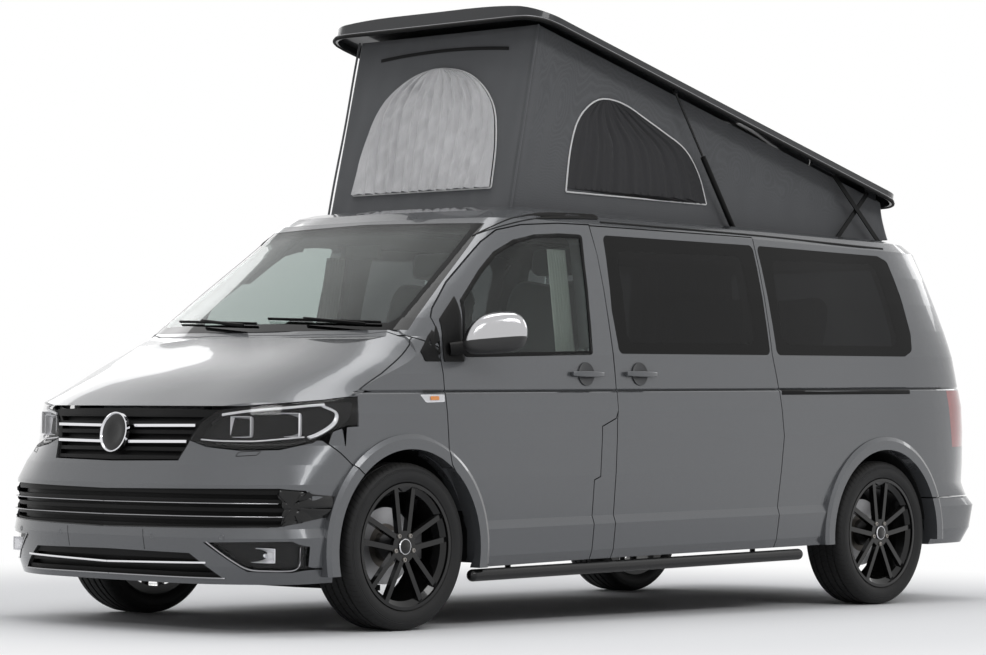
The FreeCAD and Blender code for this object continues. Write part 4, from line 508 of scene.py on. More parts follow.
# %% [markdown]
# ## The frame's own finishes
# Most panels already have their final shape, so each only needs its finish. A body has many parts of
# one finish, and one table from slot to material keeps them together.

# %% Dress the frame
SLOT_FINISH = {"body_paint": paint, "clear_glass": clear_glass, "dark_glass": dark_glass,
               "black_trim": satin_black, "lamp_lens": clear_lens, "red_lens": red_lens,
               "bright_trim": smoked_chrome, "roof_shell": roof_skin, "canvas": canvas,
               "strut_steel": dull_steel, "seat_cloth": seat_cloth, "furniture": board,
               "cabin_plastic": cabin_plastic, "underbody": underseal, "cast_metal": cast_metal,
               "pipe_steel": dull_steel, "tyre_rubber": tyre_rubber, "wheel_black": gloss_black, }


def give(node, material):
    """Puts one finish on a whole node of the frame."""
    mesh = NODES[node].data
    mesh.materials.clear()
    mesh.materials.append(material)


dressed = 0
for part in frame["record"]["subparts"]:
    give(part["node"], SLOT_FINISH[part["material_slot"]])
    dressed += 1
print("nodes dressed", dressed)

# %% [markdown]
# ## A few hand tools
# By hand, one would add a primitive, choose faces with the mouse and press a key. These helpers do
# the same in code: they choose faces by a test, run edit-mode operators on them and apply modifiers.

# %% Hand tools
def added(kind, name, at=(0, 0, 0), turn=(0, 0, 0), stretch=(1, 1, 1), **settings):
    """A mesh primitive at its place and size, with its transforms applied."""
    bpy.ops.object.select_all(action="DESELECT")
    getattr(bpy.ops.mesh, "primitive_" + kind + "_add")(location=at, rotation=turn, **settings)
    piece = bpy.context.object
    piece.name = name
    piece.scale = stretch
    bpy.ops.object.transform_apply(location=True, rotation=True, scale=True)
    return piece


def alone(piece):
    """Makes one piece the only selected and active one."""
    bpy.ops.object.select_all(action="DESELECT")
    piece.select_set(True)
    bpy.context.view_layer.objects.active = piece


def edit(piece, test, *steps):
    """Runs edit-mode steps on the faces that a test chooses, or on everything where it is None."""
    alone(piece)
    bpy.ops.object.mode_set(mode="EDIT")
    bpy.ops.mesh.select_mode(type="FACE")
    bpy.ops.mesh.select_all(action="SELECT" if test is None else "DESELECT")
    if test is not None:
        bpy.ops.object.mode_set(mode="OBJECT")
        for face in piece.data.polygons:
            face.select = bool(test(face))
        bpy.ops.object.mode_set(mode="EDIT")
    for name, settings in steps:
        getattr(bpy.ops.mesh, name)(**settings)
    bpy.ops.object.mode_set(mode="OBJECT")


def modified(piece, kind, **settings):
    """Adds one modifier and applies it."""
    alone(piece)
    modifier = piece.modifiers.new(kind.lower(), kind)
    for label, value in settings.items():
        setattr(modifier, label, value)
    bpy.ops.object.modifier_apply(modifier=modifier.name)


def eased(piece, width, segments=2, angle=50):
    """Rounds the sharp edges of a piece."""
    modified(piece, "BEVEL", width=width, segments=segments, limit_method="ANGLE",
             angle_limit=math.radians(angle))


def joined(pieces):
    """Joins pieces into the first of them."""
    alone(pieces[0])
    for piece in pieces:
        piece.select_set(True)
    bpy.ops.object.join()
    return pieces[0]


def outward(piece):
    """Merges doubled points and turns every face outwards."""
    edit(piece, None, ("remove_doubles", {"threshold": 0.00001}),
         ("normals_make_consistent", {"inside": False}))


def done(piece, material, body="van", angle=35):
    """Smooths a piece, gives it its finish and lets it ride."""
    alone(piece)
    bpy.ops.object.shade_smooth_by_angle(angle=math.radians(angle))
    piece.data.materials.clear()
    piece.data.materials.append(material)
    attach(piece, body)
    return piece


def copied(piece, name, matrix, body="van"):
    """A copy with its own mesh, moved by a matrix; a mirrored one is turned right side out."""
    twin = piece.copy()
    twin.data = piece.data.copy()
    twin.name = name
    bpy.context.scene.collection.objects.link(twin)
    twin.parent = None
    twin.data.transform(matrix)
    if matrix.determinant() < 0:
        twin.data.flip_normals()
    twin.matrix_world = Matrix.Identity(4)
    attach(twin, body)
    return twin


MIRRORED = Matrix.Scale(-1, 4, (0, 1, 0))


def rounded_outline(points, cut=0.02, closed=True):
    """Turns each corner of an outline into a short curve that starts this far from it."""
    result = [] if closed else [Vector(points[0])]
    count = len(points)
    for index in range(0 if closed else 1, count if closed else count - 1):
        before, corner, after = (Vector(points[(index + step) % count]) for step in (-1, 0, 1))
        near = corner.lerp(before, min(0.45, cut / max((before - corner).length, 1e-6)))
        far = corner.lerp(after, min(0.45, cut / max((after - corner).length, 1e-6)))
        result += [near.lerp(corner, t).lerp(corner.lerp(far, t), t) for t in (0.0, 0.25, 0.5, 0.75, 1.0)]
    return result if closed else result + [Vector(points[-1])]


def dense_outline(points, step, closed=True):
    """Adds points along an outline's long runs."""
    result = []
    count = len(points)
    for index in range(count if closed else count - 1):
        a, b = Vector(points[index]), Vector(points[(index + 1) % count])
        parts = max(1, round((b - a).length / step))
        result += [a.lerp(b, part / parts) for part in range(parts)]
    return result if closed else result + [Vector(points[-1])]


def banded(name, outline, width, laid, lift=0.001, thick=0.003, bevel=0.0008):
    """A closed band of a given width inside an outline, laid on the body and given a thickness."""
    ring = added("circle", name, vertices=len(outline), radius=1.0)
    for vertex, point in zip(ring.data.vertices, outline):
        vertex.co = (point.x, point.y, 0)
    alone(ring)
    bpy.ops.object.mode_set(mode="EDIT")
    bpy.ops.mesh.select_all(action="SELECT")
    bpy.ops.mesh.edge_face_add()
    bpy.ops.mesh.inset(thickness=width, use_even_offset=True)
    bpy.ops.mesh.delete(type="FACE")
    bpy.ops.object.mode_set(mode="OBJECT")
    return lay(ring, laid, lift, thick, bevel)


def lay(piece, laid, lift, thick, bevel=0.0008):
    """Puts each point of a flat piece on the body, then thickens and rounds it."""
    normals = []
    for vertex in piece.data.vertices:
        place, normal = laid(vertex.co.x, vertex.co.y)
        vertex.co = place + normal * lift
        normals.append(normal)
    piece.data.update()
    middle = piece.data.polygons[len(piece.data.polygons) // 2]
    if middle.normal.dot(normals[middle.vertices[0]]) < 0:
        piece.data.flip_normals()
    modified(piece, "SOLIDIFY", thickness=thick, offset=0.0)
    if bevel:
        eased(piece, bevel)
    return piece


def patched(name, outline, laid, lift=0.001, thick=0.003, rings=4, bevel=0.0008):
    """A filled outline laid on the body; rings of faces that close in on its middle let it follow a curve."""
    count = len(outline)
    piece = added("grid", name, x_subdivisions=rings, y_subdivisions=count, size=1.0)
    middle_x = sum(point.x for point in outline) / count
    middle_y = sum(point.y for point in outline) / count
    for column in range(count + 1):
        point = outline[column % count]
        for ring in range(rings + 1):
            share = 1 - ring / rings
            flat = (middle_x + (point.x - middle_x) * share, middle_y + (point.y - middle_y) * share, 0)
            piece.data.vertices[column * (rings + 1) + ring].co = flat
    edit(piece, None, ("remove_doubles", {"threshold": 0.00001}))
    return lay(piece, laid, lift, thick, bevel)


def ribbon(name, places, across, wide, thick, bevel=0.001):
    """A strip along a line of places: a grid pulled along it, thickened and rounded."""
    count = len(places)
    strip = added("grid", name, x_subdivisions=count - 1, y_subdivisions=1, size=1.0)
    for index, place in enumerate(places):
        side = across[index] if isinstance(across, list) else Vector(across)
        strip.data.vertices[index].co = place - side * wide / 2
        strip.data.vertices[index + count].co = place + side * wide / 2
    modified(strip, "SOLIDIFY", thickness=thick, offset=0.0)
    if bevel:
        eased(strip, bevel)
    outward(strip)
    return strip


def piped(name, places, radius, closed=False, sides=10, smooth=True):
    """A round bar or cord along a line: a path curve with a round bevel, made a mesh."""
    curve = bpy.data.curves.new(name, "CURVE")
    curve.dimensions = "3D"
    spline = curve.splines.new("NURBS" if smooth else "POLY")
    spline.points.add(len(places) - 1)
    for point, place in zip(spline.points, places):
        point.co = (*place, 1)
    if smooth:
        spline.order_u = 3
        spline.use_endpoint_u = not closed
    spline.use_cyclic_u = closed
    curve.bevel_depth = radius
    curve.bevel_resolution = max(1, sides // 4 - 1)
    curve.resolution_u = 4
    curve.use_fill_caps = not closed
    tube = bpy.data.objects.new(name, curve)
    bpy.context.scene.collection.objects.link(tube)
    alone(tube)
    bpy.ops.object.convert(target="MESH")
    outward(tube)
    return tube


def spun(name, profile, centre, steps=64, axis=(0, 1, 0)):
    """A turned solid: a closed profile, given as (along, radius), swept round an axis."""
    axis = Vector(axis)
    up = Vector((0, 0, 1)) if abs(axis.z) < 0.5 else Vector((1, 0, 0))
    ring = added("circle", name, vertices=len(profile), radius=1.0)
    for vertex, (along, radius) in zip(ring.data.vertices, profile):
        vertex.co = Vector(centre) + axis * along + up * max(radius, 0.0)
    alone(ring)
    bpy.ops.object.mode_set(mode="EDIT")
    bpy.ops.mesh.select_all(action="SELECT")
    bpy.ops.mesh.spin(steps=steps, angle=math.tau, center=tuple(centre), axis=tuple(axis))
    bpy.ops.mesh.select_all(action="SELECT")
    bpy.ops.mesh.remove_doubles(threshold=0.00002)
    bpy.ops.mesh.normals_make_consistent(inside=False)
    bpy.ops.object.mode_set(mode="OBJECT")
    return ring


def block(name, low, high, bevel=0.004, segments=3):
    """A box between two corners with its edges rounded."""
    low, high = Vector(low), Vector(high)
    piece = added("cube", name, at=(low + high) / 2, stretch=high - low, size=1.0)
    if bevel:
        eased(piece, bevel, segments, 40)
    return piece


print("tools ready")

# %% [markdown]
# ## Tyres
# A tyre is a ring of one section: bead, bulged side wall, shoulder and a flat tread with four grooves.
# Drawing half of that section and spinning it round the axle gives all of it at once, and the fine
# cuts across the tread are left to a bump pattern that follows the angle round the wheel. The cuts are
# also painted darker than the rubber: painted shade in cuts that are only a bump.

# %% Tyre rubber with cross cuts
SHOULDER_RADIUS = 0.3425
SIDE_RIB_RADIUS = 0.328


def tread_material(name, axle_x):
    """Tyre rubber whose shoulder blocks and side rings follow the wheel's own centre."""
    material, nodes, links, shader = new_material(name)
    effect = place_group(nodes, GRAIN, Colour=grey(0.011), Grain_Size=300.0, Depth=0.25, Roughness=0.62,
                         Variation=0.35, Dust=0.10)
    calc = partial(math_node, nodes, links)
    place = place_axes(nodes, links)
    across = calc("SUBTRACT", place.outputs["X"], axle_x)
    height = calc("SUBTRACT", place.outputs["Z"], TYRE_RADIUS)
    angle = calc("ARCTAN2", height, across)
    radius = across_both(calc, across, height)
    width = calc("ABSOLUTE", calc("SUBTRACT", calc("ABSOLUTE", place.outputs["Y"]), HALF_TRACK))
    skew = calc("MULTIPLY", width, 1.6)
    turn = calc("MULTIPLY", calc("ADD", angle, skew), 78.0)
    cut = calc("GREATER_THAN", calc("SINE", turn), 0.80)
    on_tread = calc("GREATER_THAN", radius, SHOULDER_RADIUS)
    cuts = calc("MULTIPLY", cut, on_tread)
    rings = calc("SINE", calc("MULTIPLY", radius, 900.0))
    from_ribs = calc("ABSOLUTE", calc("SUBTRACT", radius, SIDE_RIB_RADIUS))
    on_side_wall = calc("LESS_THAN", from_ribs, 0.007)
    ribs = calc("MULTIPLY", calc("MULTIPLY", rings, 0.25), on_side_wall)
    height_map = calc("SUBTRACT", ribs, cuts)
    bump = nodes.new("ShaderNodeBump")
    bump.inputs["Strength"].default_value = 0.9
    bump.inputs["Distance"].default_value = 0.004
    links.new(height_map, bump.inputs["Height"])
    links.new(effect.outputs["Normal"], bump.inputs["Normal"])
    # The cuts get a darker colour: painted shade in the cuts.
    links.new(blend_colour(nodes, links, cuts, effect.outputs["Colour"], (0.004, 0.004, 0.004, 1)),
              shader.inputs["Base Color"])
    links.new(effect.outputs["Roughness"], shader.inputs["Roughness"])
    links.new(bump.outputs["Normal"], shader.inputs["Normal"])
    shader.inputs["Specular IOR Level"].default_value = 0.3
    return material


# %% Spin the tyres
def tyre_section():
    """Half of the section outside, mirrored, then back along the inner wall."""
    outer = [(0.0995, 0.2735), (0.1085, 0.279), (0.1100, 0.284), (0.1135, 0.290), (0.1168, 0.302),
             (0.1174, 0.313), (0.1160, 0.325), (0.1140, 0.331), (0.1135, 0.3345), (0.1100, 0.3415),
             (0.1040, 0.3490), (0.0950, 0.3550), (0.0800, 0.3588)]
    tread = []
    for middle in (0.060, 0.021):
        tread += [(middle + 0.0058, 0.3594), (middle + 0.0040, 0.3530), (middle - 0.0040, 0.3530),
                  (middle - 0.0058, 0.3597)]
    half = outer + tread
    whole = half + [(-along, radius) for along, radius in reversed(half)]
    inner = [(-0.0985, 0.2725), (-0.106, 0.300), (-0.100, 0.330), (-0.070, 0.3440), (0.070, 0.3440),
             (0.100, 0.330), (0.106, 0.300), (0.0985, 0.2725)]
    return whole + inner


WHEELS = {"front_left": (AXLE_X, 1), "front_right": (AXLE_X, -1), "rear_left": (REAR_AXLE_X, 1),
          "rear_right": (REAR_AXLE_X, -1)}
OTHER_WHEELS = {label: spot for label, spot in WHEELS.items() if label != "front_left"}
front_tread = tread_material("front_tyre_rubber", AXLE_X)
rear_tread = tread_material("rear_tyre_rubber", REAR_AXLE_X)
first = spun("tyre_front_left_dressed", tyre_section(), (AXLE_X, HALF_TRACK, TYRE_RADIUS), steps=96)
done(first, front_tread, "front_left_wheel", 28)
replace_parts(first, "tyre_front_left")
for label, (x, side) in OTHER_WHEELS.items():
    move = Matrix.Translation((x - AXLE_X, side * HALF_TRACK - HALF_TRACK, 0))
    twin = copied(first, "tyre_" + label + "_dressed", move, label + "_wheel")
    twin.data.materials[0] = front_tread if label.startswith("front") else rear_tread
    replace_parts(twin, "tyre_" + label)
print("tyre triangles", sum(len(face.vertices) - 2 for face in first.data.polygons))

# %% [markdown]
# ## Wheels and brakes
# The rims are gloss black, with a bare steel disc behind the spokes. One material does both: a mask
# on the distance from the axle tells the disc from the rim. Bolts, cap and valve are added once and
# copied to each wheel.

# %% Wheel finish
DISC_RADIUS = 0.1675
DISC_HAT_RADIUS = 0.094
DISC_FACE_Y = 0.7905


def wheel_finish(name, axle_x):
    """Gloss black rim; turned steel where the brake disc lies."""
    material, nodes, links, shader = new_material(name)
    effect = place_group(nodes, GRAIN, Colour=grey(0.004), Grain_Size=600.0, Depth=0.03, Roughness=0.22,
                         Variation=0.3, Dust=0.04)
    calc = partial(math_node, nodes, links)
    place = place_axes(nodes, links)
    across = calc("SUBTRACT", place.outputs["X"], axle_x)
    height = calc("SUBTRACT", place.outputs["Z"], TYRE_RADIUS)
    radius = across_both(calc, across, height)
    inboard = calc("LESS_THAN", calc("ABSOLUTE", place.outputs["Y"]), DISC_FACE_Y)
    small = calc("LESS_THAN", radius, DISC_RADIUS)
    disc = calc("MULTIPLY", inboard, small)
    swept = calc("MULTIPLY", disc, spread(nodes, links, radius, DISC_HAT_RADIUS, DISC_HAT_RADIUS + 0.004))
    lines = calc("SINE", calc("MULTIPLY", radius, 3500.0))
    turned = calc("ADD", calc("MULTIPLY", lines, 0.2), 0.5)
    steel = blend_colour(nodes, links, turned, (0.30, 0.30, 0.31, 1), (0.46, 0.46, 0.47, 1))
    dull = blend_colour(nodes, links, swept, (0.12, 0.11, 0.10, 1), steel)
    links.new(blend_colour(nodes, links, disc, effect.outputs["Colour"], dull), shader.inputs["Base Color"])
    links.new(disc, shader.inputs["Metallic"])
    links.new(spread(nodes, links, disc, 0.0, 1.0, 0.16, 0.38), shader.inputs["Roughness"])
    links.new(calc("SUBTRACT", 1.0, disc), shader.inputs["Coat Weight"])
    links.new(effect.outputs["Normal"], shader.inputs["Normal"])
    shader.inputs["Coat Roughness"].default_value = 0.04
    shader.inputs["Coat IOR"].default_value = 1.3
    shader.inputs["Specular IOR Level"].default_value = 0.15
    return material


wheel_front = wheel_finish("front_wheel_lacquer", AXLE_X)
wheel_rear = wheel_finish("rear_wheel_lacquer", REAR_AXLE_X)
for label, (x, _) in WHEELS.items():
    give("wheel_" + label, wheel_front if x == AXLE_X else wheel_rear)

# %% Bolts, caps and valves
FACE_Y = 0.9075
BOLT_CIRCLE_RADIUS = 0.056
HUB = (AXLE_X, FACE_Y, TYRE_RADIUS)
CAP_SECTION = [(-0.004, 0.0), (-0.004, 0.034), (0.004, 0.034), (0.007, 0.031), (0.0085, 0.027), (0.0095, 0.0)]
CAP_RING_SECTION = [(0.002, 0.0335), (0.005, 0.0350), (0.0075, 0.0335), (0.0080, 0.0310), (0.0050, 0.0305)]
BOLT_SECTION = [(-0.004, 0.0), (-0.004, 0.0125), (0.000, 0.0125), (0.001, 0.0105), (0.0085, 0.0100),
                (0.0100, 0.0085), (0.0100, 0.0055), (0.0050, 0.0050), (0.0050, 0.0)]
cap = spun("cap_front_left", CAP_SECTION, HUB, 48)
done(cap, gloss_black, "front_left_wheel")
cap_ring = spun("cap_ring_front_left", CAP_RING_SECTION, HUB, 48)
done(cap_ring, chrome, "front_left_wheel")
bolts = []
for index in range(5):
    angle = math.tau * (index + 0.5) / 5
    spot = (AXLE_X + math.sin(angle) * BOLT_CIRCLE_RADIUS, FACE_Y - 0.003,
            TYRE_RADIUS + math.cos(angle) * BOLT_CIRCLE_RADIUS)
    bolts.append(spun("bolt", BOLT_SECTION, spot, 12))
bolts = joined(bolts)
bolts.name = "bolts_front_left"
done(bolts, dull_steel, "front_left_wheel")
valve_line = [Vector((AXLE_X + 0.02, 0.888, TYRE_RADIUS + 0.247)),
              Vector((AXLE_X + 0.021, 0.900, TYRE_RADIUS + 0.243)),
              Vector((AXLE_X + 0.022, 0.912, TYRE_RADIUS + 0.238))]
valve = piped("valve_front_left", valve_line, 0.0035)
done(valve, satin_black, "front_left_wheel")
for label, (x, side) in OTHER_WHEELS.items():
    move = Matrix.Translation((x - AXLE_X, 0, 0))
    move = move if side > 0 else MIRRORED @ move
    for thing, slot in ((cap, "wheel_black"), (cap_ring, "bright_trim"), (bolts, "wheel_black"),
                        (valve, "wheel_black")):
        copied(thing, thing.name.replace("front_left", label), move, label + "_wheel")
print("wheel fittings", len(bolts.data.polygons), "faces a wheel")

# %% [markdown]
# ## Paint outside, lining inside
# A door or a side wall is one node, painted outside and lined inside. The way its surface faces tells
# the two apart, so one material wears both: where a wall faces the cabin, it turns to dull dark felt.

# %% Two-faced paint
CEILING_Z = 1.70


def lined_paint():
    """Body paint that turns to dark lining where the surface faces the cabin."""
    material, nodes, links, shader = new_material("painted_and_lined")
    calc = partial(math_node, nodes, links)
    effect = place_group(nodes, FLAKE, Colour=(0.104, 0.108, 0.115, 1), Flake_Size=1400.0, Strength=0.35,
                         Roughness=0.27)
    split = nodes.new("ShaderNodeSeparateXYZ")
    links.new(nodes.new("ShaderNodeNewGeometry").outputs["Normal"], split.inputs[0])
    place = place_axes(nodes, links)
    side = calc("SIGN", place.outputs["Y"])
    facing = calc("MULTIPLY", split.outputs["Y"], side)
    inward = calc("LESS_THAN", facing, -0.25)
    looks_down = calc("LESS_THAN", split.outputs["Z"], -0.3)
    under = calc("MULTIPLY", looks_down, calc("GREATER_THAN", place.outputs["Z"], CEILING_Z))
    inside = calc("MAXIMUM", inward, under)
    outside = calc("SUBTRACT", 1.0, inside)
    links.new(blend_colour(nodes, links, inside, effect.outputs["Colour"], (0.026, 0.027, 0.028, 1)),
              shader.inputs["Base Color"])
    links.new(spread(nodes, links, inside, 0.0, 1.0, 0.27, 0.85), shader.inputs["Roughness"])
    links.new(calc("MULTIPLY", outside, 0.45), shader.inputs["Metallic"])
    links.new(outside, shader.inputs["Coat Weight"])
    shader.inputs["Coat Roughness"].default_value = 0.03
    shader.inputs["Coat IOR"].default_value = 1.32
    links.new(effect.outputs["Normal"], shader.inputs["Normal"])
    return material


lined = lined_paint()
for part in frame["record"]["subparts"]:
    if part["material_slot"] == "body_paint":
        give(part["node"], lined)
give("kitchen_unit", board)

# %% [markdown]
# ## Printed borders on the glass
# Bonded windows carry a black printed border that hides the glue. It is a mask in the glass itself:
# the distance to a rounded, slanted rectangle turns the colour of the glass from tint to black.

# %% Bordered glass
def bordered_glass(name, tint, across_axis, middle, half, corner, slants, top_band=0.0, rake=0.0, index=1.25):
    """Glass with a printed border. Across runs along X for a side window and along |Y| for an end window."""
    material, nodes, links, shader = new_material(name)
    calc = partial(math_node, nodes, links)
    place = place_axes(nodes, links)
    along = place.outputs[across_axis]
    if across_axis == "Y":
        along = calc("ABSOLUTE", along)
    sunk = calc("MULTIPLY", calc("SUBTRACT", place.outputs["X"], AXLE_X), rake)
    height = calc("ADD", place.outputs["Z"], sunk)
    up = calc("SUBTRACT", height, middle[1])
    sideways = calc("SUBTRACT", along, middle[0])
    front_slant = calc("MULTIPLY", up, slants[0])
    rear_slant = calc("MULTIPLY", up, slants[1])
    ahead = calc("SUBTRACT", calc("ADD", sideways, front_slant), half[0] - corner)
    behind = calc("SUBTRACT", calc("SUBTRACT", rear_slant, sideways), half[0] - corner)
    over_x = calc("MAXIMUM", calc("MAXIMUM", ahead, behind), 0.0)
    over_z = calc("MAXIMUM", calc("SUBTRACT", calc("ABSOLUTE", up), half[1] - corner), 0.0)
    reach = across_both(calc, over_x, over_z)
    border = spread(nodes, links, reach, corner - 0.001, corner + 0.001)
    if top_band:
        shade = spread(nodes, links, up, half[1] - top_band, half[1] - top_band + 0.05, 0.0, 0.75)
        border = calc("MAXIMUM", border, shade)
    film = noise(nodes, links, nodes.new("ShaderNodeTexCoord").outputs["Object"], 5.0, 4.0)
    tinted = blend_colour(nodes, links, calc("MULTIPLY", film, 0.05), tint, (0.7, 0.7, 0.7, 1))
    links.new(blend_colour(nodes, links, border, tinted, (0.0015, 0.0015, 0.0017, 1)),
              shader.inputs["Base Color"])
    links.new(spread(nodes, links, film, 0.45, 0.8, 0.0, 0.02), shader.inputs["Roughness"])
    shader.inputs["Transmission Weight"].default_value = 1.0
    shader.inputs["IOR"].default_value = index
    return material


def middle_of(front_mm, rear_mm):
    """Halfway between two stations."""
    return AXLE_X + (front_mm + rear_mm) / 2000


TINT_DARK = (0.050, 0.053, 0.056, 1)
TINT_CLEAR = (0.52, 0.58, 0.56, 1)
slider_glass = bordered_glass("slider_privacy_glass", TINT_DARK, "X", (middle_of(-1457, -2378), 1.455),
                              (0.463, 0.212), 0.045, (0.02, 0.02), rake=RAKE)
rear_glass = bordered_glass("rear_privacy_glass", TINT_DARK, "X", (middle_of(-2612, -3500), 1.446),
                            (0.452, 0.207), 0.06, (0.03, 0.20), rake=RAKE)
screen_glass = bordered_glass("screen_glass", TINT_CLEAR, "Y", (0.0, 1.555), (0.702, 0.232), 0.04,
                              (0.24, 0.24), top_band=0.05, index=1.3)
back_glass = bordered_glass("back_privacy_glass", TINT_DARK, "Y", (0.0, 1.503), (0.630, 0.215), 0.05,
                            (0.18, 0.18))
door_glass = glass("door_glass", TINT_CLEAR, 1.3)
give("sliding_door_glass", slider_glass)
give("windscreen", screen_glass)
give("tailgate_glass", back_glass)
give("door_glass_left", door_glass)
give("door_glass_right", door_glass)


# %% Side glass is three panes in one node
def pane_split():
    """The side glass node holds panes ahead of and behind the rear pillar: each gets its own border."""
    mesh = NODES["side_glass"].data
    mesh.materials.clear()
    mesh.materials.append(rear_glass)
    mesh.materials.append(slider_glass)
    limit = AXLE_X - 2.503
    for face in mesh.polygons:
        face.material_index = 1 if face.center.x > limit else 0
    return sum(face.material_index for face in mesh.polygons)


print("faces of the front pane", pane_split())

# %% [markdown]
# ## Trim along the sides
# A body side lives from thin dark lines: seals round the windows, a painted shadow in the groove below
# them, the slot of the sliding door's rail and the trim along the roof. Each is a flat outline laid on
# the panel that carries it, so it follows the curve of that panel.

# %% Side trims
def side_outline(points, cut=0.01, step=0.03):
    """Places of the side view, in millimetres, as a rounded outline in metres."""
    flat = [Vector((station(along, high).x, station(along, high).z)) for along, high in points]
    return dense_outline(rounded_outline(flat, cut), step)


def both_sides(make, name, material, body):
    """Makes a piece on the left and its mirrored copy on the right."""
    piece = make(name + "_left")
    done(piece, material, body.format("left"))
    copied(piece, name + "_right", MIRRORED, body.format("right"))
    return piece


SKY_RAY = Vector((0, -0.85, -0.53)).normalized()
ROOF_EDGE_Y = 0.79


def lay_roof_edge(x, z):
    """The skin at the roof's edge, met by a ray that comes down at a slant."""
    edge = Vector((x, ROOF_EDGE_Y, z))
    return met(SHELL, edge - SKY_RAY * 2, SKY_RAY, edge)


WINDOW_SEAL = [(-349, 1172), (-1194, 1186), (-1203, 1404), (-1216, 1609), (-1234, 1736), (-1088, 1738),
               (-917, 1728), (-778, 1700), (-655, 1644), (-542, 1560), (-376, 1420)]
MIRROR_BASE = [(-362, 1440), (-240, 1338), (-226, 1250), (-222, 1152), (-345, 1152)]
WING_TRIANGLE = [(-211, 1312), (-150, 1262), (-84, 1195), (-112, 1153), (-207, 1153)]
ROOF_TRIM = [(-622, 1774), (-793, 1822), (-1066, 1862), (-1406, 1880), (-1396, 1828), (-1157, 1820),
             (-881, 1801)]
RAIL_SLOT = [(-2556, 1019), (-3604, 1016), (-3604, 996), (-2556, 997)]


def side_patches(name, outline, laid, lift, thick, rings, material, body="van"):
    """A flat trim with this outline on each side."""
    return both_sides(lambda end: patched(end, outline, laid, lift, thick, rings), name, material, body)


seal_line = side_outline(WINDOW_SEAL, 0.022, 0.04)
both_sides(lambda end: banded(end, seal_line, 0.017, on_side, 0.0012, 0.004), "window_seal", rubber,
           "{}_door")
side_patches("mirror_base", side_outline(MIRROR_BASE, 0.008), on_side, 0.002, 0.006, 3, satin_black,
             "{}_door")
side_patches("wing_triangle", side_outline(WING_TRIANGLE, 0.008), on_side, 0.001, 0.005, 3, satin_black)
side_patches("roof_trim", side_outline(ROOF_TRIM, 0.01, 0.02), lay_roof_edge, 0.002, 0.005, 1, satin_black)
side_patches("rail_slot", side_outline(RAIL_SLOT, 0.004, 0.05), on_side, 0.0008, 0.002, 1, rubber)


def side_line(name, start, end):
    """A thin dark strip along the side between two places of the side view: painted shadow in the groove."""
    count = max(3, round(abs(end[0] - start[0]) / 60))
    places = []
    for index in range(count + 1):
        share = index / count
        spot = station(start[0] + (end[0] - start[0]) * share, start[1] + (end[1] - start[1]) * share)
        place, normal = on_side(spot.x, spot.z)
        places.append(place + normal * 0.0004)
    return ribbon(name, places, (0, 0, 1), 0.0045, 0.0012, 0)


# Each line is painted shadow: a dark strip where the groove holds only shade.
GROOVE_SHADOWS = (("wing", "van", (-84, 1020), (-203, 1020)), ("door", "{}_door", (-219, 1020), (-1332, 1020)),
           ("slider", "van", (-1352, 1020), (-2520, 1020)), ("quarter", "van", (-2552, 1021), (-3905, 1019)))
for label, body, start, end in GROOVE_SHADOWS:
    both_sides(lambda name: side_line(name, start, end), "groove_" + label, rubber, body)

gutter = []
for along, high in ((-1395, 1806), (-1700, 1803), (-2100, 1797), (-2600, 1784), (-3100, 1766), (-3578, 1744)):
    spot = station(along, high)
    gutter.append(lay_roof_edge(spot.x, spot.z)[0])
both_sides(lambda name: piped(name, gutter, 0.0055), "gutter_strip", satin_black, "van")

# %% [markdown]
# ## Handles, side lamps and mirrors
# The pull handle is a rounded bar over a round cup. The bar is a cube drawn out, narrowed and
# bevelled; the cup is a turned dish whose rim stands a hair above the panel. The dish is painted darker
# than the body: painted shade of the hollow that a raised dish cannot hold.

# %% Pull handles
HANDLE_HEIGHT = 1098.0
HANDLE_HALF = 0.105
CUP_SECTION = [(-0.004, 0.0), (0.0006, 0.0), (0.0007, 0.020), (0.0012, 0.040), (0.0022, 0.048),
               (0.0030, 0.0505), (0.0026, 0.0535), (-0.004, 0.0545)]


def pull_handle(name, along):
    """A bar on two feet over its cup."""
    spot = station(along, HANDLE_HEIGHT)
    place, _ = on_side(spot.x, spot.z)
    bar = block(name, (spot.x - HANDLE_HALF, place.y + 0.016, spot.z - 0.0135),
                (spot.x + HANDLE_HALF, place.y + 0.034, spot.z + 0.0135), 0)
    edit(bar, None, ("subdivide", {"number_cuts": 3}))
    for vertex in bar.data.vertices:
        share = (vertex.co.x - spot.x) / HANDLE_HALF
        vertex.co.y -= 0.011 * share * share
        vertex.co.z = spot.z + (vertex.co.z - spot.z) * (1 - 0.25 * share * share)
    eased(bar, 0.006, 3)
    feet = []
    for side in (-1, 1):
        middle = spot.x + side * 0.088
        feet.append(block("foot", (middle - 0.012, place.y - 0.004, spot.z - 0.009),
                          (middle + 0.012, place.y + 0.016, spot.z + 0.009), 0.004))
    return joined([bar, *feet])


def handle_cup(name, along):
    """A shallow round dish behind the bar."""
    spot = station(along, HANDLE_HEIGHT)
    place, normal = on_side(spot.x, spot.z)
    return spun(name, CUP_SECTION, place, 40, normal)


# Darker paint for the cup: painted shade of the recess.
cup_painted_shade = finish("shaded_cup_paint", FLAKE, {"Metallic": 0.5, **GLOSS_COAT},
                   Colour=(0.040, 0.041, 0.044, 1), Flake_Size=1400.0, Strength=0.35, Roughness=0.35)
FRONT_HANDLE, SLIDER_HANDLE = -1137, -1508
both_sides(lambda name: pull_handle(name, FRONT_HANDLE), "front_handle", paint, "{}_door")
both_sides(lambda name: handle_cup(name, FRONT_HANDLE), "front_cup", cup_painted_shade, "{}_door")
done(pull_handle("slider_handle", SLIDER_HANDLE), paint, "van")
done(handle_cup("slider_cup", SLIDER_HANDLE), cup_painted_shade, "van")

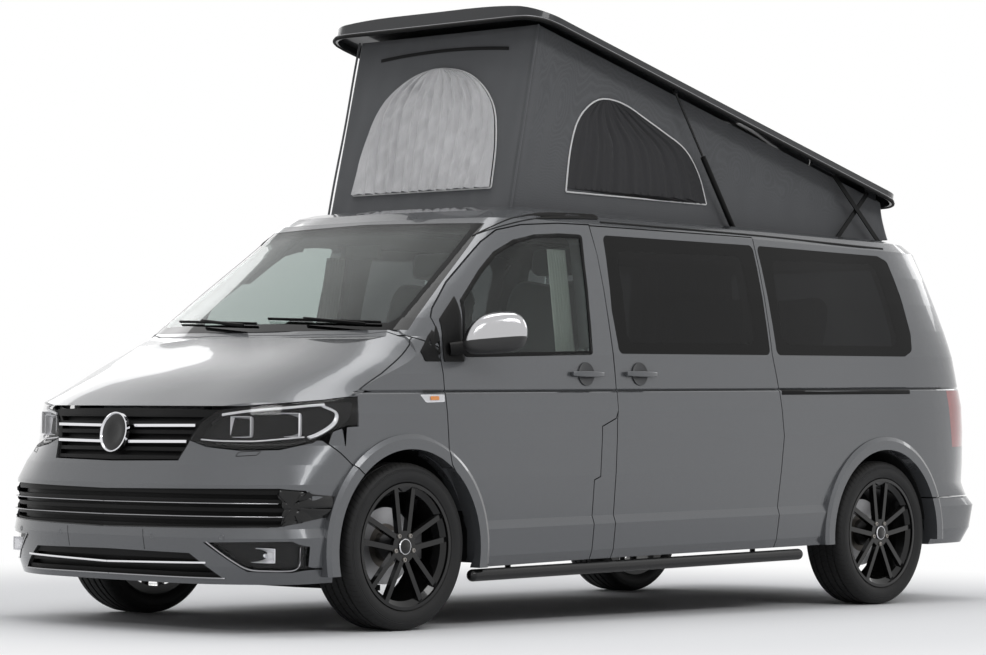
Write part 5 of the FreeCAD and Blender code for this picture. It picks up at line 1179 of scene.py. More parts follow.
# %% Side lamps
SIDE_LAMP = [(-58, 1008), (-203, 1008), (-203, 981), (-96, 979)]
SIDE_LAMP_AMBER = [(-118, 1003), (-170, 1003), (-170, 986), (-118, 986)]
SIDE_LAMP_BACK = [(-60, 1010), (-206, 1010), (-206, 978), (-94, 976)]
side_patches("side_lamp", side_outline(SIDE_LAMP, 0.008, 0.02), on_side, 0.0015, 0.004, 2, clear_lens, "van")
side_patches("side_lamp_amber", side_outline(SIDE_LAMP_AMBER, 0.006, 0.02), on_side, 0.0042, 0.002, 2,
             amber_lens, "van")
side_patches("side_lamp_back", side_outline(SIDE_LAMP_BACK, 0.008, 0.02), on_side, 0.0003, 0.001, 2,
             reflector, "van")

# %% Mirror finish
def mirror_cap():
    """Bright plating above a rising split line, black plastic below it."""
    material, nodes, links, shader = new_material("mirror_cap")
    calc = partial(math_node, nodes, links)
    effect = place_group(nodes, GRAIN, Colour=grey(0.016), Grain_Size=1100.0, Depth=0.15, Roughness=0.42,
                         Variation=0.3, Dust=0.03)
    place = place_axes(nodes, links)
    outboard = calc("ABSOLUTE", place.outputs["Y"])
    rise = calc("MULTIPLY", calc("SUBTRACT", outboard, 0.95), 0.13)
    above = calc("GREATER_THAN", place.outputs["Z"], calc("ADD", rise, 1.243))
    links.new(blend_colour(nodes, links, above, effect.outputs["Colour"], (0.50, 0.50, 0.51, 1)),
              shader.inputs["Base Color"])
    links.new(above, shader.inputs["Metallic"])
    links.new(spread(nodes, links, above, 0.0, 1.0, 0.42, 0.12), shader.inputs["Roughness"])
    links.new(effect.outputs["Normal"], shader.inputs["Normal"])
    return material


# %% Mirror housing
MIRROR_MIDDLE = station(-416, 1278, 1.040)
MIRROR_TURN = Matrix.Rotation(math.radians(46), 3, "Z")
MIRROR_ARM_Z = 1.224


def mirror_housing(name):
    """A cube rounded towards a ball, drawn out, tapered upwards and cut flat at the back for its glass."""
    piece = added("cube", name, size=2.0)
    edit(piece, None, ("subdivide", {"number_cuts": 7}))
    for vertex in piece.data.vertices:
        u, v, w = vertex.co.y, vertex.co.x, vertex.co.z
        reach = max((abs(u) ** 3.6 + abs(v) ** 2.6 + abs(w) ** 3.2) ** (1 / 3.1), 1e-6)
        u, v, w = u / reach, v / reach, w / reach
        inner = 0.176 - 0.078 * (w + 1) / 2 - 0.02 * max(w, 0) ** 2
        outer = 0.142 - 0.020 * max(w, 0)
        along = u * (outer if u > 0 else inner)
        depth = v * (0.076 if v > 0 else 0.048)
        vertex.co = MIRROR_MIDDLE + MIRROR_TURN @ Vector((depth, along, w * 0.092 + 0.012 * u))
    piece.data.update()
    modified(piece, "SUBSURF", levels=1, render_levels=1)
    return piece


def mirror_foot(name):
    """The arm from the door's corner."""
    places = [station(-262, 1208, 0.915), station(-300, 1212, 0.945), station(-352, 1222, 0.985)]
    arm = piped(name, places, 0.026, sides=24)
    for vertex in arm.data.vertices:
        vertex.co.z = MIRROR_ARM_Z + (vertex.co.z - MIRROR_ARM_Z) * 1.15
    return arm


cap_finish = mirror_cap()
housing = both_sides(mirror_housing, "mirror_housing", cap_finish, "{}_door")
both_sides(mirror_foot, "mirror_foot", satin_black, "{}_door")
for label in ("left", "right"):
    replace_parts(bpy.data.objects["mirror_housing_" + label], "mirror_" + label)
pane = added("circle", "mirror_pane_left", vertices=48, radius=1.0, fill_type="NGON")
for vertex in pane.data.vertices:
    u, w = vertex.co.x, vertex.co.y
    reach = (abs(u) ** 3 + abs(w) ** 3) ** (1 / 3)
    flat = Vector((-0.0485, u / reach * 0.105, w / reach * 0.072))
    vertex.co = MIRROR_MIDDLE + MIRROR_TURN @ flat
edit(pane, None, ("inset", {"thickness": 0.004}))
modified(pane, "SOLIDIFY", thickness=0.003, offset=0.0)
outward(pane)
done(pane, reflector, "left_door")
copied(pane, "mirror_pane_right", MIRRORED, "right_door")
print("mirror faces", len(housing.data.polygons))

# %% [markdown]
# ## The face of the van
# The bright strips of the grilles bend round the nose. The nose is known from level lines, each given
# at six places of the half width, so a smooth reading of that table carries every strip and lamp.

# %% Nose lines
NOSE_ACROSS = (0.0, 0.35, 0.56, 0.74, 0.90, 0.975)
NOSE_LEVELS = (
    (0.209, 0.905, (868, 862, 842, 785, 690, 600)), (0.284, 0.934, (884, 876, 853, 796, 703, 610)),
    (0.402, 0.946, (905, 897, 868, 811, 715, 618)), (0.440, 0.932, (908, 899, 870, 812, 716, 618)),
    (0.519, 0.938, (906, 896, 866, 806, 710, 610)), (0.624, 0.945, (898, 888, 858, 796, 698, 590)),
    (0.704, 0.948, (876, 862, 826, 750, 640, 500)), (0.784, 0.951, (852, 830, 787, 695, 560, 410)),
    (0.913, 0.950, (805, 795, 752, 680, 545, 400)), (0.998, 0.943, (772, 762, 727, 657, 522, 382)),
)


def along_level(level, y):
    """How far ahead of the axle one level line lies at y, read smoothly."""
    _, half, line = level
    across = [share * half for share in NOSE_ACROSS]
    y = min(abs(y), across[-1])
    index = max(i for i in range(len(across) - 1) if across[i] <= y or i == 0)
    t = (y - across[index]) / (across[index + 1] - across[index])
    before = line[index - 1] if index else line[1]
    after = line[index + 2] if index + 2 < len(line) else 2 * line[index + 1] - line[index]
    a, b = line[index], line[index + 1]
    slope_a, slope_b = (b - before) / 2, (after - a) / 2
    return (a * (1 + 2 * t) * (1 - t) ** 2 + slope_a * t * (1 - t) ** 2 + b * t * t * (3 - 2 * t)
            + slope_b * t * t * (t - 1)) / 1000


def nose(y, z, proud=0.0):
    """A place on the nose at y and z."""
    index = max((i for i in range(len(NOSE_LEVELS) - 1) if NOSE_LEVELS[i][0] <= z), default=0)
    low, high = NOSE_LEVELS[index], NOSE_LEVELS[index + 1]
    share = (z - low[0]) / (high[0] - low[0])
    ahead = along_level(low, y) * (1 - share) + along_level(high, y) * share
    return Vector((AXLE_X + ahead + proud, y, z))


def ideal_nose(y, z):
    """The smooth form of the nose, also where it has an opening."""
    return nose(y, z), Vector((1, 0, 0))


def front_outline(points, cut, step):
    """Places of the front view as a rounded outline."""
    return dense_outline(rounded_outline([Vector(point) for point in points], cut), step)


# %% Grille strips
def front_strip(name, start, end, wide, thick, proud, material):
    """A strip on the left half of the nose between two (y, z) places, and its mirrored copy."""
    places = []
    for index in range(25):
        share = index / 24
        places.append(nose(start[0] + (end[0] - start[0]) * share, start[1] + (end[1] - start[1]) * share,
                           proud))
    strip = ribbon(name, places, (0, 0, 1), wide, thick, 0.002)
    done(strip, material, "van")
    copied(strip, name + "_right", MIRRORED, "van")


for index, (z, reach) in enumerate(((0.868, 0.448), (0.800, 0.420))):
    front_strip("upper_strip_" + str(index), (0.086, z), (reach, z + 0.003), 0.013, 0.010, 0.003, chrome)
for index, (z, reach) in enumerate(((0.5455, 0.858), (0.4905, 0.872))):
    front_strip("middle_strip_" + str(index), (0.001, z), (reach, z + 0.004), 0.0045, 0.006, 0.004,
                smoked_chrome)
front_strip("middle_lip", (0.001, 0.4395), (0.858, 0.4525), 0.006, 0.006, 0.002, gloss_black)
front_strip("lower_strip", (0.001, 0.288), (0.580, 0.300), 0.009, 0.008, 0.002, chrome)
front_strip("lower_lip", (0.001, 0.236), (0.655, 0.236), 0.006, 0.010, 0.002, smoked_chrome)


def lay_nose(y, z):
    """The skin of the nose, also where a bar's gap lets a ray through."""
    place, normal = on_front(y, z)
    solid = abs(place.x - nose(y, z).x) < 0.025 or abs(y) > 0.915
    return (place, normal) if solid else ideal_nose(y, z)


GRILLE_END = [(0.862, 0.452), (0.914, 0.470), (0.936, 0.530), (0.922, 0.603), (0.848, 0.607), (0.868, 0.530)]
end_line = front_outline(GRILLE_END, 0.012, 0.012)
both_sides(lambda name: patched(name, end_line, lay_nose, 0.001, 0.010, 4, 0.002), "grille_end", gloss_black,
           "van")

# %% Plain disc in the middle of the grille
DISC_MIDDLE = nose(0, 0.836, 0.006)
DISC_AXIS = (0.985, 0, 0.17)
DISC_SECTION = [(-0.010, 0.0), (-0.010, 0.078), (0.004, 0.078), (0.006, 0.074), (0.008, 0.040), (0.0085, 0.0)]
RIM_SECTION = [(0.000, 0.0770), (0.008, 0.0790), (0.0120, 0.0835), (0.0090, 0.0880), (-0.008, 0.0885),
               (-0.008, 0.0770)]
done(spun("nose_disc", DISC_SECTION, DISC_MIDDLE, 64, DISC_AXIS), gloss_black, "van")
done(spun("nose_disc_rim", RIM_SECTION, DISC_MIDDLE, 64, DISC_AXIS), chrome, "van")

# %% [markdown]
# ## Headlamps
# Under one clear cover lie a dark bowl, two bright chambers and a light guide along the upper and outer
# edge. The cover is the frame's own solid; its inside is modelled here, a little behind its face.

# %% Lamp insides
LAMP_BACK = [(0.452, 0.806), (0.520, 0.792), (0.660, 0.780), (0.800, 0.784), (0.868, 0.812), (0.925, 0.900),
             (0.925, 0.978), (0.870, 0.962), (0.780, 0.948), (0.640, 0.934), (0.545, 0.922), (0.482, 0.872)]
print("lamp face", round(on_front(0.70, 0.87)[0].x, 3), "nose", round(nose(0.70, 0.87).x, 3))


def lamp_band(name, points, wide, thick, proud, across):
    """A strip inside the lamp through given (y, z) places."""
    dense = dense_outline(rounded_outline([Vector(point) for point in points], 0.03, False), 0.012, False)
    return ribbon(name, [nose(point.x, point.y, proud) for point in dense], across, wide, thick, 0.0015)


lamp_line = front_outline(LAMP_BACK, 0.02, 0.02)
both_sides(lambda name: patched(name, lamp_line, ideal_nose, -0.052, 0.004, 6), "lamp_bowl", satin_black,
           "van")
GUIDE_TOP = [(0.545, 0.916), (0.640, 0.931), (0.780, 0.947), (0.880, 0.962)]
GUIDE_SIDE = [(0.875, 0.958), (0.912, 0.930), (0.908, 0.880), (0.878, 0.836), (0.860, 0.822)]
GUIDE_LOW = [(0.470, 0.812), (0.560, 0.806), (0.700, 0.806), (0.850, 0.826)]
LAMP_SILL = [(0.540, 0.796), (0.660, 0.788), (0.800, 0.794), (0.852, 0.808)]
UPRIGHT = (0, 0, 1)
for name, line, wide, thick, proud, across, material, slot in (
        ("lamp_guide_top", GUIDE_TOP, 0.011, 0.010, -0.020, UPRIGHT, reflector, "lamp_lens"),
        ("lamp_guide_side", GUIDE_SIDE, 0.018, 0.010, -0.020, (-0.4, 0.75, -0.5), reflector, "lamp_lens"),
        ("lamp_guide_low", GUIDE_LOW, 0.006, 0.008, -0.020, UPRIGHT, reflector, "lamp_lens"),
        ("lamp_sill", LAMP_SILL, 0.008, 0.006, -0.026, UPRIGHT, gloss_black, "black_trim")):
    both_sides(lambda end: lamp_band(end, line, wide, thick, proud, across), name, material, "van")


def chamber(name, y, z, wide, high, proud=-0.030, deep=0.048):
    """A square reflector bowl: a cube opened in front, its back drawn together, with a bright frame."""
    front = nose(y, z, proud)
    piece = added("cube", name, at=front - Vector((deep / 2, 0, 0)), stretch=(deep, wide, high), size=1.0)
    edit(piece, None, ("subdivide", {"number_cuts": 4}))
    for vertex in piece.data.vertices:
        share = min(1.0, max(0.0, (front.x - vertex.co.x) / deep))
        for axis, middle in ((1, y), (2, z)):
            vertex.co[axis] = middle + (vertex.co[axis] - middle) * (1 - 0.55 * share * share)
        vertex.co.x += 0.20 * (y - vertex.co.y)
    edit(piece, lambda face: face.normal.x > 0.8 and face.center.x > front.x - deep / 2,
         ("delete", {"type": "FACE"}))
    piece.data.flip_normals()
    modified(piece, "SOLIDIFY", thickness=0.003, offset=-1.0)
    eased(piece, 0.0015)
    return piece


def bulb(name, y, z, proud=-0.072):
    """A small stepped bulb in the middle of its chamber."""
    section = [(0.0, 0.0), (0.0, 0.009), (0.010, 0.009), (0.015, 0.006), (0.017, 0.0)]
    return spun(name, section, nose(y, z, proud), 20, (1, 0, 0))


for index, (y, z, wide, high) in enumerate(((0.625, 0.866, 0.098, 0.084), (0.790, 0.876, 0.108, 0.096))):
    both_sides(lambda name: chamber(name, y, z, wide, high), "lamp_chamber_" + str(index), reflector, "van")
    both_sides(lambda name: bulb(name, y, z), "lamp_bulb_" + str(index), chrome, "van")

# %% [markdown]
# ## Fog lamps and bumper details
# The recess in the bumper is dark, with a slim bright edge along its slanted side and below. In it
# sits a small rectangular lamp: a bright bowl behind a clear cover.

# %% Fog lamps
FOG_EDGE = [(0.590, 0.388), (0.660, 0.336), (0.752, 0.272), (0.888, 0.270), (0.910, 0.290), (0.918, 0.366)]
FOG_RECESS = [(0.605, 0.386), (0.900, 0.390), (0.914, 0.372), (0.906, 0.284), (0.885, 0.274), (0.757, 0.276)]
FOG_MIDDLE = (0.800, 0.334)
fog_line = front_outline(FOG_RECESS, 0.01, 0.02)
both_sides(lambda name: lamp_band(name, FOG_EDGE, 0.006, 0.006, 0.001, (0, 0.3, 0.95)), "fog_edge",
           smoked_chrome, "van")
both_sides(lambda name: patched(name, fog_line, ideal_nose, -0.036, 0.004, 4), "fog_recess", satin_black,
           "van")
both_sides(lambda name: chamber(name, *FOG_MIDDLE, 0.118, 0.056, -0.012, 0.022), "fog_bowl", reflector, "van")
both_sides(lambda name: bulb(name, *FOG_MIDDLE, -0.034), "fog_bulb", chrome, "van")

# %% Washer flap and sensors
WASHER_FLAP = [(0.655, 0.742), (0.735, 0.748), (0.742, 0.768), (0.662, 0.763)]
SENSOR_SECTION = [(-0.004, 0.0), (-0.004, 0.0115), (0.0006, 0.0115), (0.0010, 0.0105), (0.0006, 0.0095),
                  (0.0012, 0.0)]
flap_line = front_outline(WASHER_FLAP, 0.006, 0.01)
both_sides(lambda name: banded(name, flap_line, 0.0022, on_front, 0.0002, 0.0014, 0), "washer_flap", rubber,
           "van")


def sensor(name, y, z):
    """A small round parking sensor, flush with the bumper."""
    place, normal = on_front(y, z)
    return spun(name, SENSOR_SECTION, place, 28, normal)


for index, (y, z) in enumerate(((0.302, 0.405), (0.660, 0.408))):
    both_sides(lambda name: sensor(name, y, z), "front_sensor_" + str(index), paint, "van")
joint_line = [nose(0.248, z, 0.0006) for z in (0.346, 0.37, 0.40, 0.432)]
both_sides(lambda name: ribbon(name, joint_line, (0, 1, 0), 0.003, 0.0016, 0), "bumper_joint", rubber, "van")

# %% [markdown]
# ## The canvas of the lifting roof
# The tent is one band of cloth that runs round between the fixed roof and the lifting shell. Its
# outline is known, so a grid is drawn along it and then given what cloth has and a plate has not: it
# hollows between its hems, and folds run down from the corners where it is pulled.

# %% Where the cloth hangs
HEM_TREE = tree_of("roof_panel")
TENT_REAR_X, TENT_FRONT_X, TENT_HALF = -2.135, 0.764, 0.598
TENT_TOP_REAR_X, TENT_TOP_FRONT_X, TENT_TOP_HALF = -2.085, 0.572, 0.585
SHELL_REAR_X, SHELL_REAR_Z, SHELL_RISE = -2.106, 2.0303, 0.25521


def shell_edge(x):
    """Height of the lifting shell's lower edge at x."""
    return SHELL_REAR_Z + (x - SHELL_REAR_X) * SHELL_RISE


def tent_path():
    """The band's line in plan, from the back round the left side to the front and back again."""
    stops = [(TENT_REAR_X, 0.0), (TENT_REAR_X, TENT_HALF), (TENT_FRONT_X, TENT_HALF),
             (TENT_FRONT_X, -TENT_HALF), (TENT_REAR_X, -TENT_HALF), (TENT_REAR_X, 0.0)]
    path = []
    for (ax, ay), (bx, by) in zip(stops, stops[1:]):
        parts = max(4, round(math.hypot(bx - ax, by - ay) / 0.030))
        path += [(ax + (bx - ax) * part / parts, ay + (by - ay) * part / parts) for part in range(parts)]
    return path


def hem_height(x, y):
    """The fixed roof under the band."""
    place, _ = met(HEM_TREE, Vector((x, y, 2.6)), Vector((0, 0, -1)), Vector((x, y, 1.872)))
    return max(place.z, 1.830)


def tent_point(x, y, share):
    """A place on the plain band: it leans back at the front and narrows a little upwards."""
    along = (x - TENT_REAR_X) / (TENT_FRONT_X - TENT_REAR_X)
    top_x = TENT_TOP_REAR_X + along * (TENT_TOP_FRONT_X - TENT_TOP_REAR_X)
    top_y = y * TENT_TOP_HALF / TENT_HALF
    low = hem_height(x, y) - 0.006
    high = shell_edge(top_x) + 0.022
    return Vector((x + (top_x - x) * share, y + (top_y - y) * share, low + (high - low) * share))


def fold(distance, share, x, y):
    """How far the cloth stands in or out: a soft hollow and folds that fan out from the corners."""
    hollow = -0.010 * math.sin(math.pi * share)
    corner = min(abs(x - TENT_FRONT_X) + abs(abs(y) - TENT_HALF), 1.0)
    near = math.exp(-corner * 5.0)
    fan = math.sin(distance * 46 + share * 9.0) * 0.5 + math.sin(distance * 83 - share * 14.0 + 1.3) * 0.3
    hem = math.exp(-share * 9.0) + 0.6 * math.exp(-(1 - share) * 10.0)
    slack = math.sin(distance * 19.0 + 0.8 * math.sin(share * 5.0)) * 0.5
    slack += math.sin(distance * 31.0 + share * 3.0 + 2.0) * 0.35
    return hollow + 0.0035 * near * fan + 0.0018 * hem * fan + 0.0028 * slack * math.sin(math.pi * share)


def away(x, y):
    """The way that the band faces at a place of its line."""
    if x > TENT_FRONT_X - 0.001:
        return Vector((1, 0, 0))
    if x < TENT_REAR_X + 0.001:
        return Vector((-1, 0, 0))
    return Vector((0, math.copysign(1, y), 0))


# %% Draw the band and its folds
PATH = tent_path()
ROWS = 34
band = added("grid", "tent_canvas_band", x_subdivisions=ROWS - 1, y_subdivisions=len(PATH), size=1.0)
run = 0.0
previous = Vector((*PATH[0], 0))
for column in range(len(PATH) + 1):
    x, y = PATH[column % len(PATH)]
    run += (Vector((x, y, 0)) - previous).length
    previous = Vector((x, y, 0))
    for row in range(ROWS):
        share = row / (ROWS - 1)
        place = tent_point(x, y, share)
        edge = min(abs(abs(y) - TENT_HALF) + abs(x - TENT_FRONT_X), 0.06) / 0.06
        band.data.vertices[column * ROWS + row].co = place + away(x, y) * fold(run, share, x, y) * edge
outward(band)
TENT_TREE = BVHTree.FromPolygons([vertex.co.copy() for vertex in band.data.vertices],
                                 [list(face.vertices) for face in band.data.polygons])
modified(band, "SOLIDIFY", thickness=0.0022, offset=-1.0)
modified(band, "SUBSURF", levels=1, render_levels=1)


# %% [markdown]
# ### Windows in the canvas
# Each side window is a panel of mesh cloth, and a silver curtain fills the front one. A white cord is
# sewn round all three. They are laid on the canvas by rays, so they take its folds.

# %% Lay things on the canvas
def lay_tent_side(x, z):
    """The left side of the band at x and z, and its normal."""
    return met(TENT_TREE, Vector((x, 3, z)), Vector((0, -1, 0)), Vector((x, 0.6, z)))


def lay_tent_front(y, z):
    """The front of the band at y and z, and its normal."""
    return met(TENT_TREE, Vector((3, y, z)), Vector((-1, 0, 0)), Vector((0.76, y, z)))


SIDE_ARCH = beside([(-1361, 1972), (-1394, 2170), (-1450, 2330), (-1588, 2432), (-1760, 2425), (-1990, 2335),
                    (-2252, 2228), (-2345, 2110), (-2392, 1969)])
FRONT_ARCH = [(-0.455, 1.975), (-0.440, 2.20), (-0.375, 2.40), (-0.20, 2.535), (0.0, 2.575), (0.20, 2.535),
              (0.375, 2.40), (0.440, 2.20), (0.455, 1.975)]


def straight_foot(points):
    """Rounds an arch but keeps the two corners at its foot sharp."""
    smooth = rounded_outline([Vector(point) for point in points], 0.10, False)
    return dense_outline(smooth, 0.02)


def crossings(outline, height):
    """Where a level line enters and leaves an outline."""
    found = []
    for a, b in zip(outline, outline[1:] + outline[:1]):
        if (a.y - height) * (b.y - height) <= 0 and a.y != b.y:
            found.append(a.x + (b.x - a.x) * (height - a.y) / (b.y - a.y))
    return min(found), max(found)


def cloth_panel(name, outline, laid, columns, rows, wave, lift, thick):
    """Cloth that fills an outline: rows of points between its two sides, pushed out by the folds."""
    low, high = min(point.y for point in outline), max(point.y for point in outline)
    panel = added("grid", name, x_subdivisions=columns - 1, y_subdivisions=rows - 1, size=1.0)
    for row in range(rows):
        share = 1 - (1 - row / (rows - 1)) ** 1.7
        height = low + 0.001 + (high - low - 0.002) * share
        left, right = crossings(outline, height)
        for column in range(columns):
            across = column / (columns - 1)
            place, normal = laid(left + (right - left) * across, height)
            near_edge = min(1.0, 8 * across, 8 * (1 - across), 6 * (1 - share) + 0.2)
            raised = lift + wave(across, share) * near_edge
            panel.data.vertices[row * columns + column].co = place + normal * raised
    modified(panel, "SOLIDIFY", thickness=thick, offset=0.0)
    outward(panel)
    return panel


def soft_pleats(across, share):
    """Loose vertical folds of the mesh."""
    wide = 0.004 * math.sin(across * 62 + 2.0 * math.sin(share * 2.5))
    narrow = 0.002 * math.sin(across * 109 + share * 5)
    return wide + narrow


def gathered_pleats(across, share):
    """Tight folds of the silver curtain that draw together upwards, crossed by creases."""
    u = (across - 0.5) * (1.2 - 0.35 * share)
    pleat = math.sin(u * 78 + 1.2 * math.sin(share * 3.0 + u * 4)) * 0.6
    pleat += math.sin(u * 131 + share * 4.0) * 0.25
    crease = math.sin(share * 27 + u * 22 + 1.5 * math.sin(u * 46)) * 0.22
    crease += math.sin(share * 51 - u * 62) * 0.12
    return 0.012 * (pleat + crease)


def sewn_cord(name, outline, laid):
    """The white cord along a window's edge."""
    found = [laid(point.x, point.y) for point in outline]
    cord = piped(name, [place + normal * 0.0045 for place, normal in found], 0.0042, True, 8)
    done(cord, white_piping, "van")
    return cord


side_arch, front_arch = straight_foot(SIDE_ARCH), straight_foot(FRONT_ARCH)
side_pane = cloth_panel("tent_side_window_left", side_arch, lay_tent_side, 150, 40, soft_pleats, 0.0055,
                        0.0008)
done(side_pane, mesh_cloth, "van", 60)
side_cord = sewn_cord("tent_side_piping_left", side_arch, lay_tent_side)
side_pane_right = copied(side_pane, "tent_side_window_right", MIRRORED, "van")
side_cord_right = copied(side_cord, "tent_side_piping_right", MIRRORED, "van")
front_cord = sewn_cord("tent_front_piping", front_arch, lay_tent_front)
curtain = cloth_panel("tent_front_curtain", front_arch, lay_tent_front, 190, 70, gathered_pleats, 0.018,
                      0.0008)
done(curtain, silver_cloth, "van", 60)

# %% Zip and corner seams
ZIP_HALF, ZIP_Z = 0.42, 2.655
zip_line = []
for index in range(31):
    y = -ZIP_HALF + 0.028 * index
    zip_line.append(lay_tent_front(y, ZIP_Z - 0.02 * (y / ZIP_HALF) ** 2)[0] + Vector((0.003, 0, 0)))
zip_tape = ribbon("tent_zip", zip_line, (0, 0, 1), 0.016, 0.002, 0.0006)
done(zip_tape, rubber, "van")


def seam(name, x, y):
    """A folded seam down a front corner."""
    places = []
    for index in range(18):
        share = index / 17
        corner = tent_point(x, y, share)
        places.append(corner + Vector((0.002, math.copysign(0.002, y), 0)) * (1 + 0.6 * math.sin(share * 9)))
    return piped(name, places, 0.0055, False, 8)


seam_left = seam("tent_seam_left", TENT_FRONT_X, TENT_HALF)
done(seam_left, canvas, "van")
seam_right = copied(seam_left, "tent_seam_right", MIRRORED, "van")
done(band, canvas, "van", 60)
tent_pieces = [band, side_pane, side_cord, side_pane_right, side_cord_right, front_cord, curtain, zip_tape,
               seam_left, seam_right]
for piece in tent_pieces:
    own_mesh(piece)
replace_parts(band, "tent")
for cloth, held, fullness in ((side_pane, "stretched", 1.06), (side_pane_right, "stretched", 1.06),
                              (curtain, "gathered", 1.3)):
    wide = (0.92 if cloth is curtain else 1.04) * fullness

# %% [markdown]
# ### Edge of the lifting shell
# The shell ends in a rubber edge with a bright line above it. Both are round bars that follow the
# shell's plan.

# %% Shell lip
POP_HALF, POP_LENGTH, POP_CORNER = 0.712, 2.905, 0.150


def shell_plan(grow):
    """The shell's outline in its own plane, from the middle of its rear edge."""
    half = POP_HALF + grow
    far = POP_LENGTH + grow
    flat = [Vector((-grow, -half)), Vector((far, -half)), Vector((far, half)), Vector((-grow, half))]
    return dense_outline(rounded_outline(flat, POP_CORNER), 0.04)


SHELL_SLOPE = math.atan(SHELL_RISE)


def on_shell(point, up):
    """From the shell's own plane to its raised place."""
    cosine, sine = math.cos(SHELL_SLOPE), math.sin(SHELL_SLOPE)
    return Vector((SHELL_REAR_X + point.x * cosine - up * sine, point.y,
                   SHELL_REAR_Z + point.x * sine + up * cosine))


lip = piped("shell_lip", [on_shell(point, 0.004) for point in shell_plan(-0.001)], 0.0085, True, 12)
done(lip, rubber, "lifting_roof")
bright_line = piped("shell_bright_line", [on_shell(point, 0.0155) for point in shell_plan(0.0006)], 0.0022,
                    True, 8)
done(bright_line, smoked_chrome, "lifting_roof")
give("pop_top", roof_skin)
for node in ("strut_tubes", "links_rear", "links_front"):
    give(node, satin_black)
give("strut_rods", gloss_black)
give("side_bars", gloss_black)

# %% [markdown]
# ## Seats
# A stuffed part is a ring of cloth carried across the seat from one side to the other. Its rings shrink
# at both ends, where the cushion is rounded over; its middle dips, its sides rise as bolsters, and
# seams draw narrow grooves into it. Every cushion is a piece of its own, as on the real seat.

# %% A stuffed part from its side outline
def stuffed(name, outline, low_y, high_y, edge=0.045, bolster=0.012, seams=(), across=34, rings=5):
    """A cushion with this convex side outline, rounded over at both ends."""
    ring = dense_outline(rounded_outline([Vector(point) for point in outline], 0.050), 0.022)
    count = len(ring)
    middle = Vector((sum(point.x for point in ring) / count, sum(point.y for point in ring) / count))
    rows = [(0.0, share / rings) for share in range(rings)]
    rows += [(0.5 - 0.5 * math.cos(math.pi * step / across), 1.0) for step in range(across + 1)]
    rows += [(1.0, 1 - (share + 1) / rings) for share in range(rings)]
    cushion = added("grid", name, x_subdivisions=len(rows) - 1, y_subdivisions=count, size=1.0)
    for column in range(count + 1):
        point = Vector((ring[column % count].x, ring[column % count].y))
        way = point - middle
        for row, (along, scale) in enumerate(rows):
            from_end = min(along, 1 - along) * (high_y - low_y)
            bend = max(0.0, 1 - from_end / edge)
            shrink = edge * (1 - math.sqrt(max(0.0, 1 - bend * bend)))
            side = abs(2 * along - 1)
            swell = bolster * (math.sin(math.pi * min(1.0, side ** 2 * 1.1)) - 0.5 * (1 - side))
            groove = sum(0.006 * math.exp(-((along - seam) * (high_y - low_y) / 0.005) ** 2)
                         for seam in seams)
            grown = swell - groove if way.y > 0 or way.x > 0 else 0.0
            reach = max(0.0, way.length - shrink + grown) * scale
            flat = middle + way.normalized() * reach
            cap = 0.010 * (1 - scale * scale) * (1 if along > 0.5 else -1)
            flat_y = low_y + (high_y - low_y) * along + cap
            cushion.data.vertices[column * len(rows) + row].co = (flat.x, flat_y, flat.y)
    edit(cushion, None, ("remove_doubles", {"threshold": 0.00002}))
    outward(cushion)
    modified(cushion, "SUBSURF", levels=1, render_levels=1)
    done(cushion, seat_cloth, "van", 180)
    return cushion


# %% Front seats
CAB_CUSHION = beside([(-838, 900), (-862, 962), (-1180, 948), (-1330, 930), (-1350, 850), (-880, 846)])
CAB_BACK = beside([(-1248, 915), (-1330, 1120), (-1440, 1500), (-1470, 1560), (-1548, 1552), (-1552, 1480),
                   (-1450, 1100), (-1392, 905)])
CAB_HEADREST = beside([(-1458, 1600), (-1470, 1700), (-1492, 1722), (-1545, 1716), (-1556, 1604),
                       (-1520, 1588)])
SEAT_MIDDLE, SEAT_HALF_WIDTH = 0.395, 0.248


def front_seat(side):
    """One cab seat: two cushions, a headrest on its posts and a closed foot."""
    middle = side * SEAT_MIDDLE
    end = "left" if side > 0 else "right"
    low, high = middle - SEAT_HALF_WIDTH, middle + SEAT_HALF_WIDTH
    cushion = stuffed("seat_cushion_" + end, CAB_CUSHION, low, high, 0.045, 0.014, (0.2, 0.8))
    stuffed("seat_back_" + end, CAB_BACK, low + 0.006, high - 0.006, 0.050, 0.016, (0.21, 0.79))
    stuffed("seat_headrest_" + end, CAB_HEADREST, middle - 0.128, middle + 0.128, 0.040, 0.0, ())
    for post in (-0.06, 0.06):
        foot = Vector((AXLE_X - 1.512, middle + post, 1.53))
        bar = piped("headrest_post_" + end, [foot, foot + Vector((-0.006, 0, 0.09))], 0.0065, False, 10,
                    False)
        done(bar, chrome, "van")
    pedestal = block("seat_foot_" + end, (AXLE_X - 1.345, middle - 0.19, 0.520),
                     (AXLE_X - 0.925, middle + 0.19, 0.858), 0.020, 3)
    done(pedestal, cabin_plastic, "van")
    return cushion


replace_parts(front_seat(1), "front_seats")
front_seat(-1)
print("front seats made")

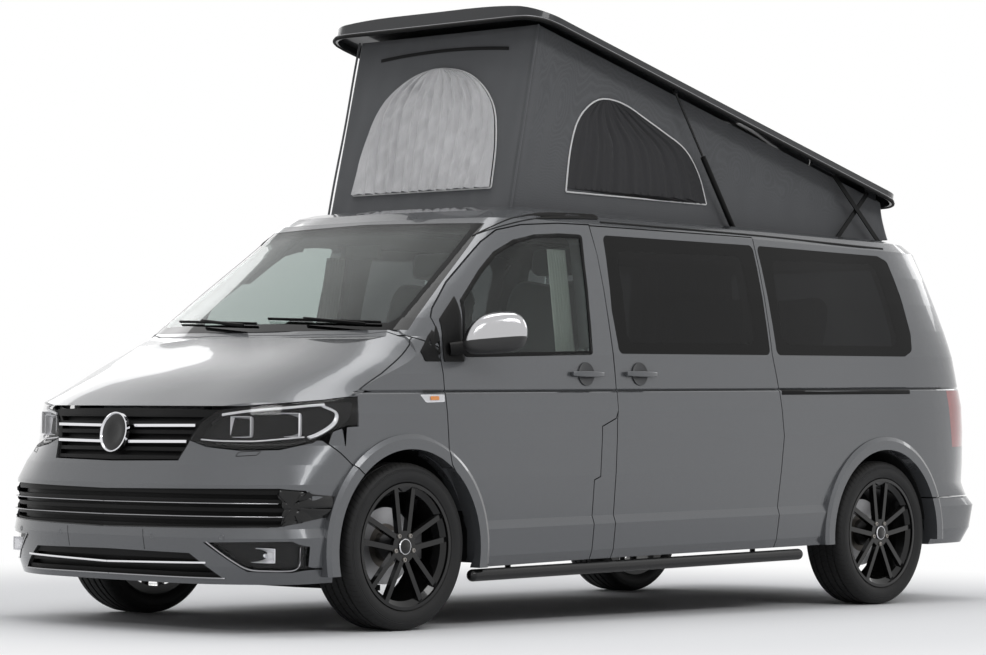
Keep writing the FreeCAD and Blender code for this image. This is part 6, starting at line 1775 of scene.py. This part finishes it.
# %% Rear bench
BENCH_CUSHION = beside([(-2702, 880), (-2720, 985), (-3060, 968), (-3230, 950), (-3240, 850), (-2720, 838)])
BENCH_BACK = beside([(-3170, 940), (-3260, 1180), (-3330, 1500), (-3352, 1546), (-3425, 1540), (-3432, 1480),
                     (-3360, 1120), (-3300, 930)])
BENCH_SEATS = ((-0.424, 0.064), (0.068, 0.554))
for index, (low, high) in enumerate(BENCH_SEATS):
    bench_cushion = stuffed("bench_cushion_" + str(index), BENCH_CUSHION, low, high, 0.040, 0.010,
                            (0.25, 0.75))
    stuffed("bench_back_" + str(index), BENCH_BACK, low, high, 0.045, 0.010, (0.25, 0.75))
    if index == 0:
        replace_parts(bench_cushion, "rear_bench")
bench_box = block("bench_box", (AXLE_X - 3.235, -0.420, 0.552), (AXLE_X - 2.722, 0.550, 0.850), 0.008, 2)
done(bench_box, cabin_plastic, "van")

# %% [markdown]
# ## Cab curtains, mirror and wipers
# A folded curtain hangs at each pillar behind the cab doors: a sheet with deep pleats. The wipers lie
# on the foot of the windscreen, and a small mirror is inside, behind its upper edge.

# %% Curtains at the pillars
def behind_pane(x, z):
    """The slanted plane behind the door glass in which the curtain hangs."""
    return Vector((x, 0.800 - (z - 1.20) * 0.16, z)), Vector((0, 1, 0))


def curtain_pleats(across, share):
    """Deep regular folds, a little shallower at the top."""
    return 0.013 * math.sin(across * 44) * (1 - 0.3 * share)


CURTAIN_LINE = [Vector(point) for point in beside([(-1075, 1215), (-1090, 1690), (-1215, 1690),
                                                   (-1205, 1215)])]
curtain_left = cloth_panel("cab_curtain_left", CURTAIN_LINE, behind_pane, 90, 24, curtain_pleats, 0.0, 0.0012)
done(curtain_left, curtain_cloth, "van", 60)
curtain_right = copied(curtain_left, "cab_curtain_right", MIRRORED, "van")

# %% Wipers
def screen_line(points, proud):
    """Places in front of the windscreen at these points of the front view."""
    found = []
    for y, z in points:
        place, normal = on_front(y, z)
        found.append(place + normal * proud)
    return found


for index, (foot_y, tip_y) in enumerate(((0.70, 0.06), (0.02, -0.62))):
    steps = [share / 8 for share in range(9)]
    blade_line = screen_line([(foot_y + (tip_y - foot_y) * s, 1.318 + 0.022 * s) for s in steps], 0.010)
    blade = ribbon("wiper_blade_" + str(index), blade_line, (0.5, 0, 0.85), 0.012, 0.006, 0.001)
    done(blade, rubber)
    arm_line = screen_line([(foot_y - 0.05 + (tip_y - foot_y) * 0.55 * s, 1.300 + 0.028 * s) for s in steps],
                           0.022)
    arm = ribbon("wiper_arm_" + str(index), arm_line, (0.5, 0, 0.85), 0.016, 0.007, 0.002)
    done(arm, satin_black)
cab_mirror = block("cab_mirror", (AXLE_X - 0.640, -0.110, 1.640), (AXLE_X - 0.615, 0.110, 1.705), 0.010, 3)
done(cab_mirror, cabin_plastic, "van")
print("cab fittings made")
